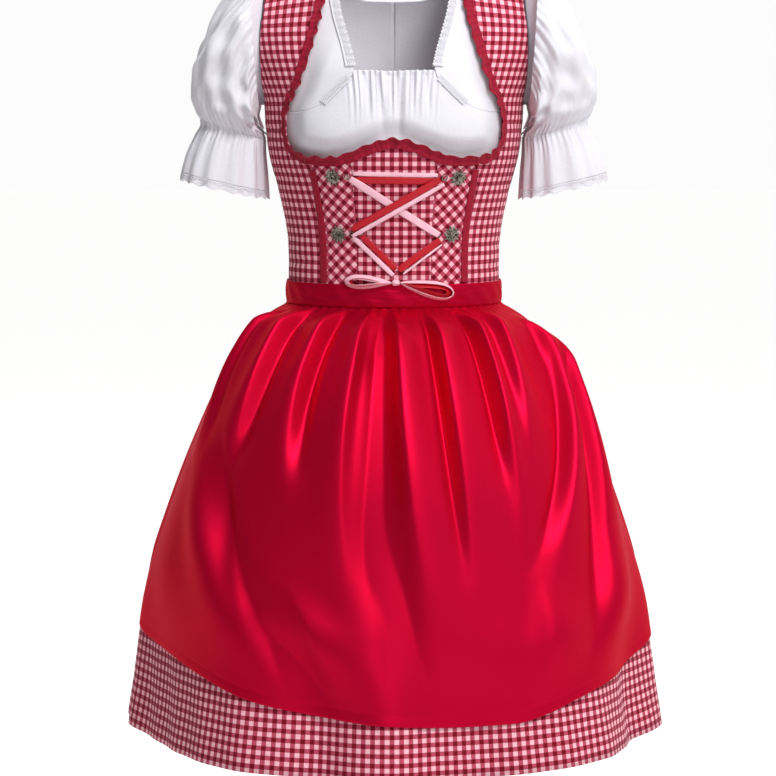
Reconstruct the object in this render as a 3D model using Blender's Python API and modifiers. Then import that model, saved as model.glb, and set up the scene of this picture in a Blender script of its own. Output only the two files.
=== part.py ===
"""Dirndl set: gingham dress, gathered white blouse and satin apron, in its worn, hollow form.

Metres, +Z up. The front faces -Y and +X is the wearer's left. The origin lies between the
shoulders, level with the place where neck and shoulder meet, and the hem is 0.92 m below it.

Every panel is a thin wall on one of two forms: a torso for bodice and blouse, and a skirt
for skirt and apron. A place on a form is an angle round the body (0 at the centre front,
90 at the wearer's left side, 180 at the centre back) and a row between hem and shoulder.
"""
import math

import bmesh
import bpy
import numpy as np
from mathutils import Vector

# Walls and gaps
BODICE_WALL = 0.0015
SKIRT_WALL = 0.0014
COTTON_WALL = 0.0011
SATIN_WALL = 0.0012
RIBBON_WALL = 0.0010
SEAM_GAP = 0.0005          # between two pieces that are sewn edge to edge
BLOUSE_CREST_GAP = 0.0016  # half the gap of the blouse's shoulder seam, at the bodice's surface
LAYER_GAP = 0.0005         # between a panel and what lies on it
# half seam gaps as angles: at the princess seams, at the sides and at the centre back
FRONT_SEAM = 0.12
SIDE_SEAM = 0.28
BACK_SEAM = 0.22
SKIRT_SEAM = 0.0006        # half the gap of the skirt's side seams

# Torso form, measured over the bodice, from below the waist to the top of the shoulder.
# height, half width, depth in front, depth behind
TORSO = (
    (-0.425, 0.1270, 0.0920, 0.0870),
    (-0.394, 0.1255, 0.0900, 0.0850),
    (-0.360, 0.1255, 0.0905, 0.0845),
    (-0.330, 0.1275, 0.0940, 0.0860),
    (-0.300, 0.1330, 0.1010, 0.0900),
    (-0.270, 0.1405, 0.1100, 0.0945),
    (-0.240, 0.1480, 0.1180, 0.0975),
    (-0.210, 0.1520, 0.1215, 0.0995),
    (-0.180, 0.1535, 0.1190, 0.1010),
    (-0.150, 0.1625, 0.1115, 0.1030),
    (-0.120, 0.1715, 0.1020, 0.1020),
    (-0.090, 0.1750, 0.0885, 0.0970),
    (-0.060, 0.1740, 0.0710, 0.0850),
    (-0.034, 0.1710, 0.0500, 0.0640),
    (-0.014, 0.1680, 0.0270, 0.0360),
    (-0.006, 0.1660, 0.0000, 0.0000),
)
SHOULDER_SLOPE = 0.33      # fall of the shoulder for each metre outwards
SHOULDER_START = 0.060     # where it begins, out from the middle
SHOULDER_FOOT = 10         # row of TORSO below which the shoulder's slope no longer shows
BUST_ANGLE = 36.0
BUST_HEIGHT = -0.213
BUST_RISE = 0.009

# Skirt form, from the hem to the waist seam, which lies inside the waistband.
SKIRT = (
    (-0.920, 0.3150, 0.3050, 0.3110),
    (-0.870, 0.3070, 0.2970, 0.3020),
    (-0.820, 0.3015, 0.2890, 0.2950),
    (-0.770, 0.2960, 0.2790, 0.2860),
    (-0.720, 0.2850, 0.2670, 0.2740),
    (-0.670, 0.2695, 0.2520, 0.2590),
    (-0.620, 0.2520, 0.2360, 0.2430),
    (-0.570, 0.2320, 0.2150, 0.2230),
    (-0.520, 0.2095, 0.1900, 0.1990),
    (-0.480, 0.1880, 0.1640, 0.1760),
    (-0.455, 0.1710, 0.1410, 0.1550),
    (-0.437, 0.1530, 0.1200, 0.1340),
    (-0.428, 0.1395, 0.1060, 0.1150),
    (-0.4205, 0.1265, 0.0905, 0.0900),
    (-0.4165, 0.1236, 0.0878, 0.0829),
    (-0.394, 0.1235, 0.0877, 0.0828),
)
BAND = (
    (-0.4160, 0.1280, 0.0925, 0.0876),
    (-0.3890, 0.1277, 0.0922, 0.0872),
)

# Bodice outlines
BODICE_HEM = -0.3925
CENTRE_SEAM_ANGLE = 20.0
PRINCESS_ANGLE = 40.8
# levels of the princess seam, shared by the panels on both sides of it
SEAM_LEVELS = (-0.3925, -0.3660, -0.3400, -0.3150, -0.2900, -0.2670, -0.2445)
# sweetheart edge: angle, height
SWEETHEART = (
    (0.0, -0.2250), (6.5, -0.2280), (14.5, -0.2360), (22.0, -0.2430), (31.0, -0.2460),
    (40.8, -0.2445),
)
# side front: height and angle of the inner edge, then of the outer edge
SIDE_FRONT = (
    (-0.3925, 40.8, -0.3925, 90.0),
    (-0.3660, 40.8, -0.3680, 90.0),
    (-0.3400, 40.8, -0.3430, 90.0),
    (-0.3150, 40.8, -0.3180, 90.0),
    (-0.2900, 40.8, -0.2940, 90.0),
    (-0.2670, 40.8, -0.2720, 90.0),
    (-0.2445, 40.8, -0.2520, 90.0),
    (-0.2430, 45.0, -0.2380, 90.0),
    (-0.2385, 50.0, -0.2260, 90.0),
    (-0.2290, 54.2, -0.2160, 90.0),
    (-0.2150, 55.7, -0.2050, 90.0),
    (-0.1990, 55.4, -0.1950, 90.0),
    (-0.1800, 52.4, -0.1860, 90.0),
    (-0.1620, 45.5, -0.1700, 82.0),
    (-0.1450, 40.8, -0.1500, 74.0),
    (-0.1250, 36.4, -0.1300, 68.0),
    (-0.1050, 33.2, -0.1070, 64.3),
    (-0.0850, 30.9, -0.0850, 62.3),
    (-0.0600, 29.2, -0.0600, 61.0),
    (-0.0340, 28.6, -0.0340, 61.5),
    (-0.0180, 28.6, -0.0180, 62.3),
    (-0.0090, 28.7, -0.0090, 63.2),
    (-0.0060, 28.8, -0.0060, 64.0),
)
NECK_START = 6             # row of SIDE_FRONT where the neck edge leaves the princess seam
UNDERARM = 12              # row of SIDE_FRONT where the armhole begins
# back: height and angle of the side edge, then of the centre-back and neck edge
SIDE_BACK = (
    (-0.3925, 90.0, -0.3925, 180.0),
    (-0.3400, 90.0, -0.3250, 180.0),
    (-0.2900, 90.0, -0.2600, 180.0),
    (-0.2400, 90.0, -0.2000, 180.0),
    (-0.2100, 90.0, -0.1500, 180.0),
    (-0.1860, 90.0, -0.1100, 180.0),
    (-0.1650, 98.0, -0.0780, 180.0),
    (-0.1450, 106.5, -0.0765, 171.0),
    (-0.1200, 113.0, -0.0690, 163.3),
    (-0.0900, 117.0, -0.0520, 158.0),
    (-0.0600, 119.0, -0.0340, 154.7),
    (-0.0340, 118.5, -0.0180, 152.8),
    (-0.0180, 117.7, -0.0130, 152.0),
    (-0.0090, 116.8, -0.0090, 151.5),
    (-0.0060, 116.0, -0.0060, 151.2),
)
BACK_NECK_START = 6
BACK_UNDERARM = 5

# Trim of the bodice
PRINCESS_BAND = 0.010
RUFFLE_ON_BODICE = 0.0060
RUFFLE_IN_OPENING = 0.0055
RUFFLE_WAVES = 62
RUFFLE_SWAY = 0.0008       # sideways reach of a wave
RUFFLE_BASE = 0.0003       # least height over the bodice, above the layer gap
RUFFLE_LIFT = 0.0024       # rise of the free edge
RUFFLE_WAVE = 0.0016
BAND_ABOVE_HEM = 0.0045    # ends of the princess bands, short of hem and ruffle
BAND_BELOW_TOP = 0.0105
ROSETTE_RADIUS = 0.0112
ROSETTE_PETALS = 10
ROSETTE_NOTCH = 0.12       # depth of the notches between petals, as a share of the radius
# rings of the rosette from the back to its boss: share of the radius, height, notched or not
ROSETTE_RINGS = (
    (1.00, 0.0000, True), (0.92, 0.0022, True), (0.40, 0.0016, False), (0.24, 0.0036, False),
)
EYELET_RADIUS = 0.0030
EYELET_WIRE = 0.0006
EYELET_SIDES = 8
# name, x, height
ROSETTES = (
    ("upper_right", -0.0700, -0.2640),
    ("lower_right", -0.0640, -0.3310),
    ("upper_left", 0.0735, -0.2650),
    ("lower_left", 0.0665, -0.3310),
)

# Lacing: name, colour, start x and height, end x and height, width, layer
STRANDS = (
    ("pale_top", "pale", -0.0470, -0.2600, 0.0500, -0.2620, 0.0052, 0),
    ("red_top", "red", -0.0450, -0.2672, 0.0480, -0.2690, 0.0080, 0),
    ("pale_falling", "pale", -0.0500, -0.2655, 0.0515, -0.3317, 0.0085, 1),
    ("red_rising", "red", -0.0480, -0.3245, 0.0520, -0.2660, 0.0080, 2),
    ("pale_rising", "pale", -0.0475, -0.3325, 0.0565, -0.2715, 0.0050, 2),
    ("pale_lower_right", "pale", -0.0470, -0.3335, -0.0010, -0.3780, 0.0055, 1),
    ("red_lower_right", "red", -0.0370, -0.3325, 0.0020, -0.3712, 0.0070, 1),
    ("red_lower_left", "red", 0.0520, -0.3370, 0.0050, -0.3720, 0.0080, 2),
    ("pale_lower_left", "pale", 0.0541, -0.3425, 0.0106, -0.3762, 0.0025, 2),
)
FIRST_LAYER = 0.0016       # outer side of the lowest ribbon, above the bodice
LAYER_STEP = 0.0014
# bow loops: name, reach in x, height of the far end, opening, colour, share of the full loop
BOW_LOOPS = (
    ("pale_right", -0.0560, -0.3850, 0.0150, "pale", 1.0),
    ("red_right", -0.0560, -0.3850, 0.0150, "red", 0.70),
    ("pale_left", 0.0690, -0.3990, 0.0190, "pale", 1.0),
    ("red_left", 0.0690, -0.3990, 0.0190, "red", 0.70),
)
BOW_X = 0.0020
BOW_HEIGHT = -0.3865
BOW_DEPTH = 0.0060
BOW_OUT = 0.0034
BOW_KNOT = (0.0050, 0.0034, 0.0046)
BOW_START = 0.0050         # the loops begin this far beside the knot's middle
BOW_NARROW = 0.35          # share of the opening near the knot
BOW_CENTRE = 0.62          # the inner loop is shrunk towards this share of the length

# Blouse
BLOUSE_UNDER = 0.0034      # how far the blouse lies inside the bodice
BLOUSE_BACK_UNDER = 0.0040
SLEEVE_PAST_ARMHOLE = 0.0042
BLOUSE_HEM = -0.285
BLOUSE_BULGE = 0.0085      # swell in the neck opening, over a small rise at its edge
BLOUSE_RISE = 0.0012
NECK_WAVE = 0.0011         # gathers under the straight neck edge
BUST_VALLEY = 0.0045       # hollow between the cups: depth, angle of its middle, half width
BUST_VALLEY_ANGLE = -1.5
BUST_VALLEY_HALF = 7.0
BLOUSE_FRONT_COLUMNS = 40
# top edge of the blouse front, with the slanting seam to the armhole: angle, height
BLOUSE_TOP = (
    (0.0, -0.1440), (15.2, -0.1440), (16.6, -0.1490), (22.0, -0.1650), (29.5, -0.1800),
    (40.0, -0.1895), (55.0, -0.1905), (75.0, -0.1865), (90.0, -0.1828),
)
# shoulder piece: height and angle of its neck edge, then of its armhole edge
SHOULDER_PIECE = (
    (-0.1480, 16.6, -0.1828, 90.0),
    (-0.1400, 15.8, -0.1700, 83.4),
    (-0.1250, 16.6, -0.1500, 75.4),
    (-0.1080, 18.0, -0.1300, 69.4),
    (-0.0900, 19.7, -0.1070, 65.7),
    (-0.0720, 21.4, -0.0850, 63.7),
    (-0.0520, 22.6, -0.0600, 62.4),
    (-0.0320, 23.4, -0.0340, 62.9),
    (-0.0180, 23.8, -0.0180, 63.7),
    (-0.0060, 24.2, -0.0060, 65.4),
)
BLOUSE_BACK = (
    (-0.2850, 90.0, -0.2850, 180.0),
    (-0.2300, 90.0, -0.1950, 180.0),
    (-0.1828, 90.0, -0.1200, 180.0),
    (-0.1650, 96.6, -0.0570, 180.0),
    (-0.1400, 106.7, -0.0558, 170.0),
    (-0.1100, 113.2, -0.0500, 163.5),
    (-0.0750, 116.7, -0.0330, 158.5),
    (-0.0450, 117.5, -0.0180, 156.8),
    (-0.0180, 116.3, -0.0120, 156.2),
    (-0.0060, 114.6, -0.0060, 155.8),
)
NECK_LACE_WIDTH = 0.012
NECK_LACE_OVERLAP = 0.8    # degrees by which the lace reaches past the neck edge
INSERT_LACE_WIDTH = 0.008
INSERT_LACE = ((0.0500, -0.1520), (0.0790, -0.1810))

# Sleeve rings below the armhole: outer x and height, inner x and height, half depth, gather
SLEEVE = (
    (0.1665, -0.0290, 0.1580, -0.1840, 0.0620, 0.0030),
    (0.1870, -0.0500, 0.1605, -0.1960, 0.0670, 0.0030),
    (0.2090, -0.0790, 0.1580, -0.2050, 0.0670, 0.0015),
    (0.2265, -0.1130, 0.1570, -0.2095, 0.0650, 0.0010),
    (0.2365, -0.1450, 0.1560, -0.2130, 0.0600, 0.0010),
    (0.2390, -0.1700, 0.1555, -0.2160, 0.0520, 0.0015),
    (0.2320, -0.1900, 0.1550, -0.2200, 0.0430, 0.0020),
    (0.2255, -0.2050, 0.1550, -0.2240, 0.0360, 0.0020),
    (0.2330, -0.2190, 0.1545, -0.2360, 0.0410, 0.0026),
    (0.2430, -0.2400, 0.1525, -0.2610, 0.0480, 0.0032),
    (0.2490, -0.2615, 0.1515, -0.2830, 0.0520, 0.0036),
    (0.2510, -0.2720, 0.1510, -0.2935, 0.0535, 0.0036),
)
SLEEVE_HEM = 11.0          # ring where the cloth ends and the lace begins
SLEEVE_GATHERS = 14
CUFF_SCALLOPS = 18
SLEEVE_FULLNESS = 0.88     # below 1 the rings are squarer than an ellipse
SLEEVE_OUT = 0.0004        # the sleeve's top lies this much outside the blouse
CUFF_LACE_START = 0.04     # in rings below the hem, as are the next two
CUFF_LACE_SHORT = 0.78
CUFF_LACE_SCALLOP = 0.22

# Skirt folds and apron folds
SKIRT_GATHERS = 24
SKIRT_FOLDS = 12
GATHER_DEPTH = 0.0011
BACK_FOLD_DEPTH = 0.0120
FRONT_FOLD_DEPTH = 0.0060
# rows of the skirt grid, closer together where the skirt springs from the waistband
SKIRT_LEVELS = (-0.920, -0.830, -0.730, -0.620, -0.520, -0.455, -0.4300, -0.4180, -0.3945)
APRON_OVER_SKIRT = 0.0032
APRON_TOP = -0.4175
# rows of the apron grid, as shares of the way from its hem to its top
APRON_ROWS = (0.0, 0.10, 0.215, 0.345, 0.48, 0.61, 0.735, 0.84, 0.925, 1.0)
APRON_SIDE_TOP = 87.0
APRON_SIDE_HEM = 78.0
# apron hem: angle, height
APRON_HEM = (
    (-78.0, -0.7980), (-73.0, -0.8050), (-55.0, -0.8150), (-41.0, -0.8270), (-31.0, -0.8390),
    (-22.0, -0.8480), (-13.0, -0.8540), (0.0, -0.8600), (14.0, -0.8640), (24.0, -0.8640),
    (31.0, -0.8570), (38.0, -0.8460), (47.0, -0.8370), (63.0, -0.8270), (75.0, -0.8110),
    (78.0, -0.8060),
)
# folds of the apron: angles at top, middle and foot, height of top and foot, rise, half width
APRON_FOLDS = (
    (-66.0, -66.0, -66.0, -0.424, -0.560, 0.0060, 6.5),
    (-47.5, -46.8, -50.5, -0.422, -0.610, 0.0110, 5.5),
    (-26.0, -30.5, -27.0, -0.422, -0.600, 0.0110, 5.0),
    (-10.5, -12.6, -9.5, -0.424, -0.700, 0.0095, 3.6),
    (2.5, 4.0, 10.5, -0.422, -0.790, 0.0130, 4.4),
    (20.0, 20.5, 22.0, -0.422, -0.690, 0.0100, 5.0),
    (43.5, 38.0, 37.0, -0.422, -0.660, 0.0110, 6.0),
    (60.0, 62.0, 64.0, -0.424, -0.580, 0.0075, 7.0),
    (-64.0, -52.0, -28.0, -0.560, -0.830, 0.0105, 6.5),
    (55.0, 60.0, 58.0, -0.600, -0.840, 0.0100, 8.0),
    (14.0, 16.0, 22.0, -0.600, -0.800, 0.0070, 4.5),
    (-5.0, -3.0, -8.0, -0.720, -0.880, 0.0085, 5.5),
)

# Waistband and ties of the apron, with their bow at the centre back
WAISTBAND_WALL = 0.0014
TIE_START = 90.4           # angles of the left tie's ends
TIE_STOP = 177.3
BACK_BOW_HEIGHT = -0.4005
TIE_KNOT = (0.0110, 0.0160, 0.0250)
TIE_KNOT_BEVEL = 0.0018
TIE_KNOT_Y = 0.0938
TIE_LOOP_START = 0.0060    # x where a loop begins, its length and its drop
TIE_LOOP_LENGTH = 0.080
TIE_LOOP_DROP = 0.002
TIE_LOOP_Y = 0.0990        # y of its middle line, with its curve round the waist and its rise
TIE_LOOP_CURVE = 2.6
TIE_LOOP_RISE = 0.006
TIE_LOOP_HALF = 0.0125     # half opening of the ring, and its share next to the knot
TIE_LOOP_NARROW = 0.3
TIE_LOOP_WIDTHS = (0.016, 0.029)
TIE_END_WIDTHS = (0.010, 0.034)
TIE_END_LENGTH = 0.300
TIE_END_TOP = -0.4240
TIE_END_SPREAD = (1.0, 9.0)
TIE_END_OUT = 0.0084       # over the skirt
TIE_END_AT_KNOT = (0.0, 0.0960, -0.4131)
TIE_END_SIDEWAYS = 0.0065

GINGHAM = (0.83, 0.42, 0.48)
DARK_RED = (0.30, 0.004, 0.020)
SATIN_RED = (0.55, 0.003, 0.030)
RIBBON_RED = (0.62, 0.004, 0.015)
RIBBON_PALE = (0.93, 0.62, 0.70)
WHITE = (0.86, 0.85, 0.88)
METAL = (0.28, 0.25, 0.20)
# colour, roughness and metallic value of the cloths and of the metal
COTTON_RED = (GINGHAM, 0.85)
BRAID_RED = (DARK_RED, 0.80)
SATIN = (SATIN_RED, 0.35)
COTTON_WHITE = (WHITE, 0.88)
OLD_METAL = (METAL, 0.35, 1.0)
RIBBON_LOOKS = {"red": (RIBBON_RED, 0.4), "pale": (RIBBON_PALE, 0.4)}

SIDES = (("right", -1), ("left", 1))


class Curve:
    """A smooth curve through the values of a table that never swings past them."""

    def __init__(self, keys, values):
        self.keys = np.array(keys, float)
        self.values = np.array(values, float)
        self.steps = np.diff(self.keys)
        rise = np.diff(self.values) / self.steps
        self.slopes = np.zeros(len(self.keys))
        for i in range(1, len(rise)):
            if rise[i - 1] * rise[i] > 0:
                self.slopes[i] = 2 * rise[i - 1] * rise[i] / (rise[i - 1] + rise[i])
        self.slopes[0] = rise[0]
        self.slopes[-1] = rise[-1]

    def __call__(self, key):
        key = min(max(key, self.keys[0]), self.keys[-1])
        i = min(int(np.searchsorted(self.keys, key, side="right")) - 1, len(self.steps) - 1)
        step = self.steps[i]
        f = (key - self.keys[i]) / step
        low = self.values[i] + self.slopes[i] * step * f * (1 - f) ** 2
        high = -self.slopes[i + 1] * step * f * f * (1 - f)
        blend = f * f * (3 - 2 * f)
        return float(low + high + (self.values[i + 1] - self.values[i]) * blend)


def columns(table):
    """The columns of a table of rows."""
    return list(zip(*table))


def wrapped(angle):
    """The same angle between -180 and 180."""
    return (angle + 180.0) % 360.0 - 180.0


def smoothstep(start, end, value):
    f = min(max((value - start) / (end - start), 0.0), 1.0)
    return f * f * (3 - 2 * f)


class Form:
    """A closed hollow form whose level sections are two half ellipses."""

    def __init__(self, table, shoulder=False):
        heights, halves, fronts, backs = (list(column) for column in columns(table))
        self.shoulder = shoulder
        self.top = len(table) - 1
        if shoulder:
            # The rows are carried over the top of the shoulder, where the depth changes sign.
            heights.append(heights[-2])
            halves.append(halves[-2])
            fronts.append(-fronts[-2])
            backs.append(-backs[-2])
        rows = range(len(heights))
        self.height = Curve(rows, heights)
        self.half = Curve(rows, halves)
        self.front = Curve(rows, fronts)
        self.back = Curve(rows, backs)
        samples = np.linspace(0, self.top, 60 * self.top + 1)
        self.sample_rows = samples
        self.sample_heights = np.array([self.height(row) for row in samples])

    def row_at(self, height):
        return float(np.interp(height, self.sample_heights, self.sample_rows))

    def point(self, angle, row):
        turn = math.radians(angle)
        x = self.half(row) * math.sin(turn)
        depth = self.front(row) if math.cos(turn) > 0 else self.back(row)
        y = -depth * math.cos(turn)
        z = self.height(row)
        if self.shoulder:
            fall = SHOULDER_SLOPE * max(0.0, abs(x) - SHOULDER_START)
            z -= fall * smoothstep(SHOULDER_FOOT, self.top, min(row, self.top))
            side = (abs(wrapped(angle)) - BUST_ANGLE) / 17.0
            level = (self.height(row) - BUST_HEIGHT) / 0.040
            y -= BUST_RISE * math.exp(-side * side - level * level)
        return Vector((x, y, z))

    def normal(self, angle, row):
        turn_step = 0.5
        row_step = 0.02
        across = self.point(angle + turn_step, row) - self.point(angle - turn_step, row)
        low = max(row - row_step, 0.0)
        up = self.point(angle, row + row_step) - self.point(angle, low)
        return across.cross(up).normalized()

    def crest_row(self, angle, gap):
        """The highest row that still lies this far from the line over the shoulder."""
        row = float(self.top)
        depth = self.front if abs(wrapped(angle)) < 90.0 else self.back
        across = abs(math.cos(math.radians(angle)))
        while row > self.top - 1 and depth(row) * across < gap:
            row -= 0.005
        return row

    def outside(self, angle, row, out):
        """The point of the form at an angle and row, moved outwards."""
        return self.point(angle, row) + self.normal(angle, row) * out


torso = Form(TORSO, shoulder=True)
skirt = Form(SKIRT)
band = Form(BAND)

for old in list(bpy.data.objects):
    bpy.data.objects.remove(old, do_unlink=True)
garment = bpy.data.collections.new("dirndl_set")
bpy.context.scene.collection.children.link(garment)


def material(name, colour, roughness, metallic=0.0):
    made = bpy.data.materials.new(name)
    made.use_nodes = True
    shader = made.node_tree.nodes["Principled BSDF"]
    shader.inputs["Base Color"].default_value = (*colour, 1.0)
    shader.inputs["Roughness"].default_value = roughness
    shader.inputs["Metallic"].default_value = metallic
    made.diffuse_color = (*colour, 1.0)
    return made


def add_object(name, bm, look, thickness=0.0):
    """Make an object from a bmesh; an open surface gets its wall inwards."""
    mesh = bpy.data.meshes.new(name)
    bm.to_mesh(mesh)
    bm.free()
    mesh.shade_smooth()
    mesh.materials.append(material(name, *look))
    made = bpy.data.objects.new(name, mesh)
    garment.objects.link(made)
    if thickness:
        wall = made.modifiers.new("wall", "SOLIDIFY")
        wall.thickness = thickness
        wall.offset = -1.0
    return made


def cloth(name, cols, rows, place, look, thickness, closed=False):
    """A grid of cloth laid by place(u, v), with its wall; closed joins u = 0 to u = 1."""
    bm = bmesh.new()
    bmesh.ops.create_grid(bm, x_segments=cols, y_segments=rows, size=0.5)
    for vert in bm.verts:
        vert.co = place(vert.co.x + 0.5, vert.co.y + 0.5)
    if closed:
        bmesh.ops.remove_doubles(bm, verts=bm.verts, dist=1e-6)
    return add_object(name, bm, look, thickness)


def edge_curves(form, table):
    """Row and angle of both edges of a panel, as curves over the rows of its table."""
    keys = range(len(table))
    heights_a, angles_a, heights_b, angles_b = columns(table)
    rows_a = [form.row_at(height) for height in heights_a]
    rows_b = [form.row_at(height) for height in heights_b]
    return Curve(keys, rows_a), Curve(keys, angles_a), Curve(keys, rows_b), Curve(keys, angles_b)


def ruled(form, table, side, out, start_inset, end_inset, crest_gap=SEAM_GAP):
    """Lay a panel between its two edges, each drawn in for its seam; side -1 is mirrored."""
    row_a, angle_a, row_b, angle_b = edge_curves(form, table)
    last = len(table) - 1

    def place(u, v):
        across = u if side > 0 else 1 - u
        key = v * last
        start = angle_a(key) + start_inset
        end = angle_b(key) - end_inset
        angle = start + (end - start) * across
        row = row_a(key) + (row_b(key) - row_a(key)) * across
        if row > form.top - 1:
            row = min(row, form.crest_row(angle, crest_gap))
        return form.outside(side * angle, row, out(side * angle, row) if callable(out) else out)

    return place


# Bodice
sweetheart = Curve(*columns(SWEETHEART))
seam_rows = [torso.row_at(level) for level in SEAM_LEVELS]


def under_sweetheart(start, end, side=1):
    """Lay a panel between two seams, from the waist to the sweetheart edge."""
    def place(u, v):
        across = u if side > 0 else 1 - u
        first = start + FRONT_SEAM
        angle = side * (first + (end - FRONT_SEAM - first) * across)
        share = seam_rows[round(v * (len(seam_rows) - 1))] - seam_rows[0]
        share /= seam_rows[-1] - seam_rows[0]
        top = torso.row_at(sweetheart(abs(angle)))
        return torso.outside(angle, seam_rows[0] + (top - seam_rows[0]) * share, 0.0)

    return place


cloth("bodice_centre_front", 8, 6, under_sweetheart(-CENTRE_SEAM_ANGLE, CENTRE_SEAM_ANGLE),
      COTTON_RED, BODICE_WALL)
for side_name, side in SIDES:
    cloth(f"bodice_hook_panel_{side_name}", 3, len(SEAM_LEVELS) - 1,
          under_sweetheart(CENTRE_SEAM_ANGLE, PRINCESS_ANGLE, side), COTTON_RED, BODICE_WALL)
    cloth(f"bodice_side_front_{side_name}", 5, len(SIDE_FRONT) - 1,
          ruled(torso, SIDE_FRONT, side, 0.0, FRONT_SEAM, SIDE_SEAM), COTTON_RED, BODICE_WALL)
    cloth(f"bodice_back_{side_name}", 6, len(SIDE_BACK) - 1,
          ruled(torso, SIDE_BACK, side, 0.0, SIDE_SEAM, BACK_SEAM), COTTON_RED, BODICE_WALL)


def neck_path():
    """Places (angle, row) along the neck edge, from the centre front to the centre back."""
    path = []
    for angle in np.linspace(0.0, PRINCESS_ANGLE, 9)[:-1]:
        path.append((float(angle), torso.row_at(sweetheart(angle))))
    row_a, angle_a, _, _ = edge_curves(torso, SIDE_FRONT)
    for key in np.linspace(NECK_START, len(SIDE_FRONT) - 1, 46):
        path.append((angle_a(key), row_a(key)))
    _, _, row_b, angle_b = edge_curves(torso, SIDE_BACK)
    for key in np.linspace(len(SIDE_BACK) - 1, BACK_NECK_START, 24)[1:]:
        path.append((angle_b(key), row_b(key)))
    return path


def armhole_path():
    """Places round the armhole: from the shoulder down the front and up the back."""
    path = []
    _, _, row, angle = edge_curves(torso, SIDE_FRONT[UNDERARM:])
    for key in np.linspace(len(SIDE_FRONT) - UNDERARM - 1, 0, 30)[:-1]:
        path.append((angle(key), row(key)))
    row, angle, _, _ = edge_curves(torso, SIDE_BACK[BACK_UNDERARM:])
    for key in np.linspace(0, len(SIDE_BACK) - BACK_UNDERARM - 1, 30)[:-1]:
        path.append((angle(key), row(key)))
    return path


class EdgeLoop:
    """A closed cloth edge on the torso, read by the share of its length."""

    def __init__(self, places):
        self.points = [torso.point(angle, row) for angle, row in places]
        self.normals = [torso.normal(angle, row) for angle, row in places]
        self.points.append(self.points[0])
        self.normals.append(self.normals[0])
        steps = [(b - a).length for a, b in zip(self.points, self.points[1:])]
        self.lengths = np.concatenate([[0.0], np.cumsum(steps)])
        self.total = float(self.lengths[-1])

    def read(self, values, length):
        table = np.array([list(value) for value in values])
        return Vector([float(np.interp(length, self.lengths, table[:, i])) for i in range(3)])

    def frame(self, fraction):
        """Place, direction out of the cloth, and direction into the opening."""
        length = (fraction % 1.0) * self.total
        reach = 0.004
        ahead = self.read(self.points, (length + reach) % self.total)
        behind = self.read(self.points, (length - reach) % self.total)
        outward = self.read(self.normals, length).normalized()
        along = (ahead - behind).normalized()
        return self.read(self.points, length), outward, outward.cross(along).normalized()


neck_half = neck_path()
neck_edge = EdgeLoop(neck_half + [(-angle, row) for angle, row in reversed(neck_half[1:-1])])
armhole_edge = EdgeLoop(armhole_path())


def lay_ruffle(u, v):
    point, outward, inward = neck_edge.frame(u)
    phase = 2 * math.pi * RUFFLE_WAVES * u
    wave = math.sin(phase)
    reach = -RUFFLE_ON_BODICE + (RUFFLE_ON_BODICE + RUFFLE_IN_OPENING) * v
    reach += RUFFLE_SWAY * math.cos(phase) * (2 * v - 1)
    lift = RIBBON_WALL + LAYER_GAP + RUFFLE_BASE + RUFFLE_LIFT * v * v
    lift += 0.5 * RUFFLE_WAVE * (1 + wave) * (0.35 + 0.65 * v)
    return point + inward * reach + outward * lift


cloth("neck_ruffle", 4 * RUFFLE_WAVES, 1, lay_ruffle, BRAID_RED, RIBBON_WALL, closed=True)

for side_name, side in SIDES:
    def lay_princess_band(u, v, side=side):
        level = SEAM_LEVELS[round(v * (len(SEAM_LEVELS) - 1))]
        level = min(max(level, BODICE_HEM + BAND_ABOVE_HEM), SEAM_LEVELS[-1] - BAND_BELOW_TOP)
        row = torso.row_at(level)
        half = math.degrees(0.5 * PRINCESS_BAND / math.hypot(
            torso.half(row) * math.cos(math.radians(PRINCESS_ANGLE)),
            torso.front(row) * math.sin(math.radians(PRINCESS_ANGLE))))
        angle = side * PRINCESS_ANGLE + half * (2 * u - 1)
        return torso.outside(angle, row, RIBBON_WALL + LAYER_GAP)

    cloth(f"princess_band_{side_name}", 2, len(SEAM_LEVELS) - 1, lay_princess_band,
          BRAID_RED, RIBBON_WALL)


def angle_of(form, x, row):
    return math.degrees(math.asin(x / form.half(row)))


def on_front(x, height, out):
    """The point of the torso's front at a width and height, moved outwards."""
    row = torso.row_at(height)
    return torso.outside(angle_of(torso, x, row), row, out)


def seat(bm, x, height, out):
    """Turn flat work lying in XY so that its +Z faces out of the bodice, and put it there."""
    row = torso.row_at(height)
    facing = torso.normal(angle_of(torso, x, row), row)
    turn = facing.to_track_quat("Z", "Y").to_matrix().to_4x4()
    bmesh.ops.transform(bm, matrix=turn, verts=bm.verts)
    bmesh.ops.translate(bm, vec=on_front(x, height, out), verts=bm.verts)


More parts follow.
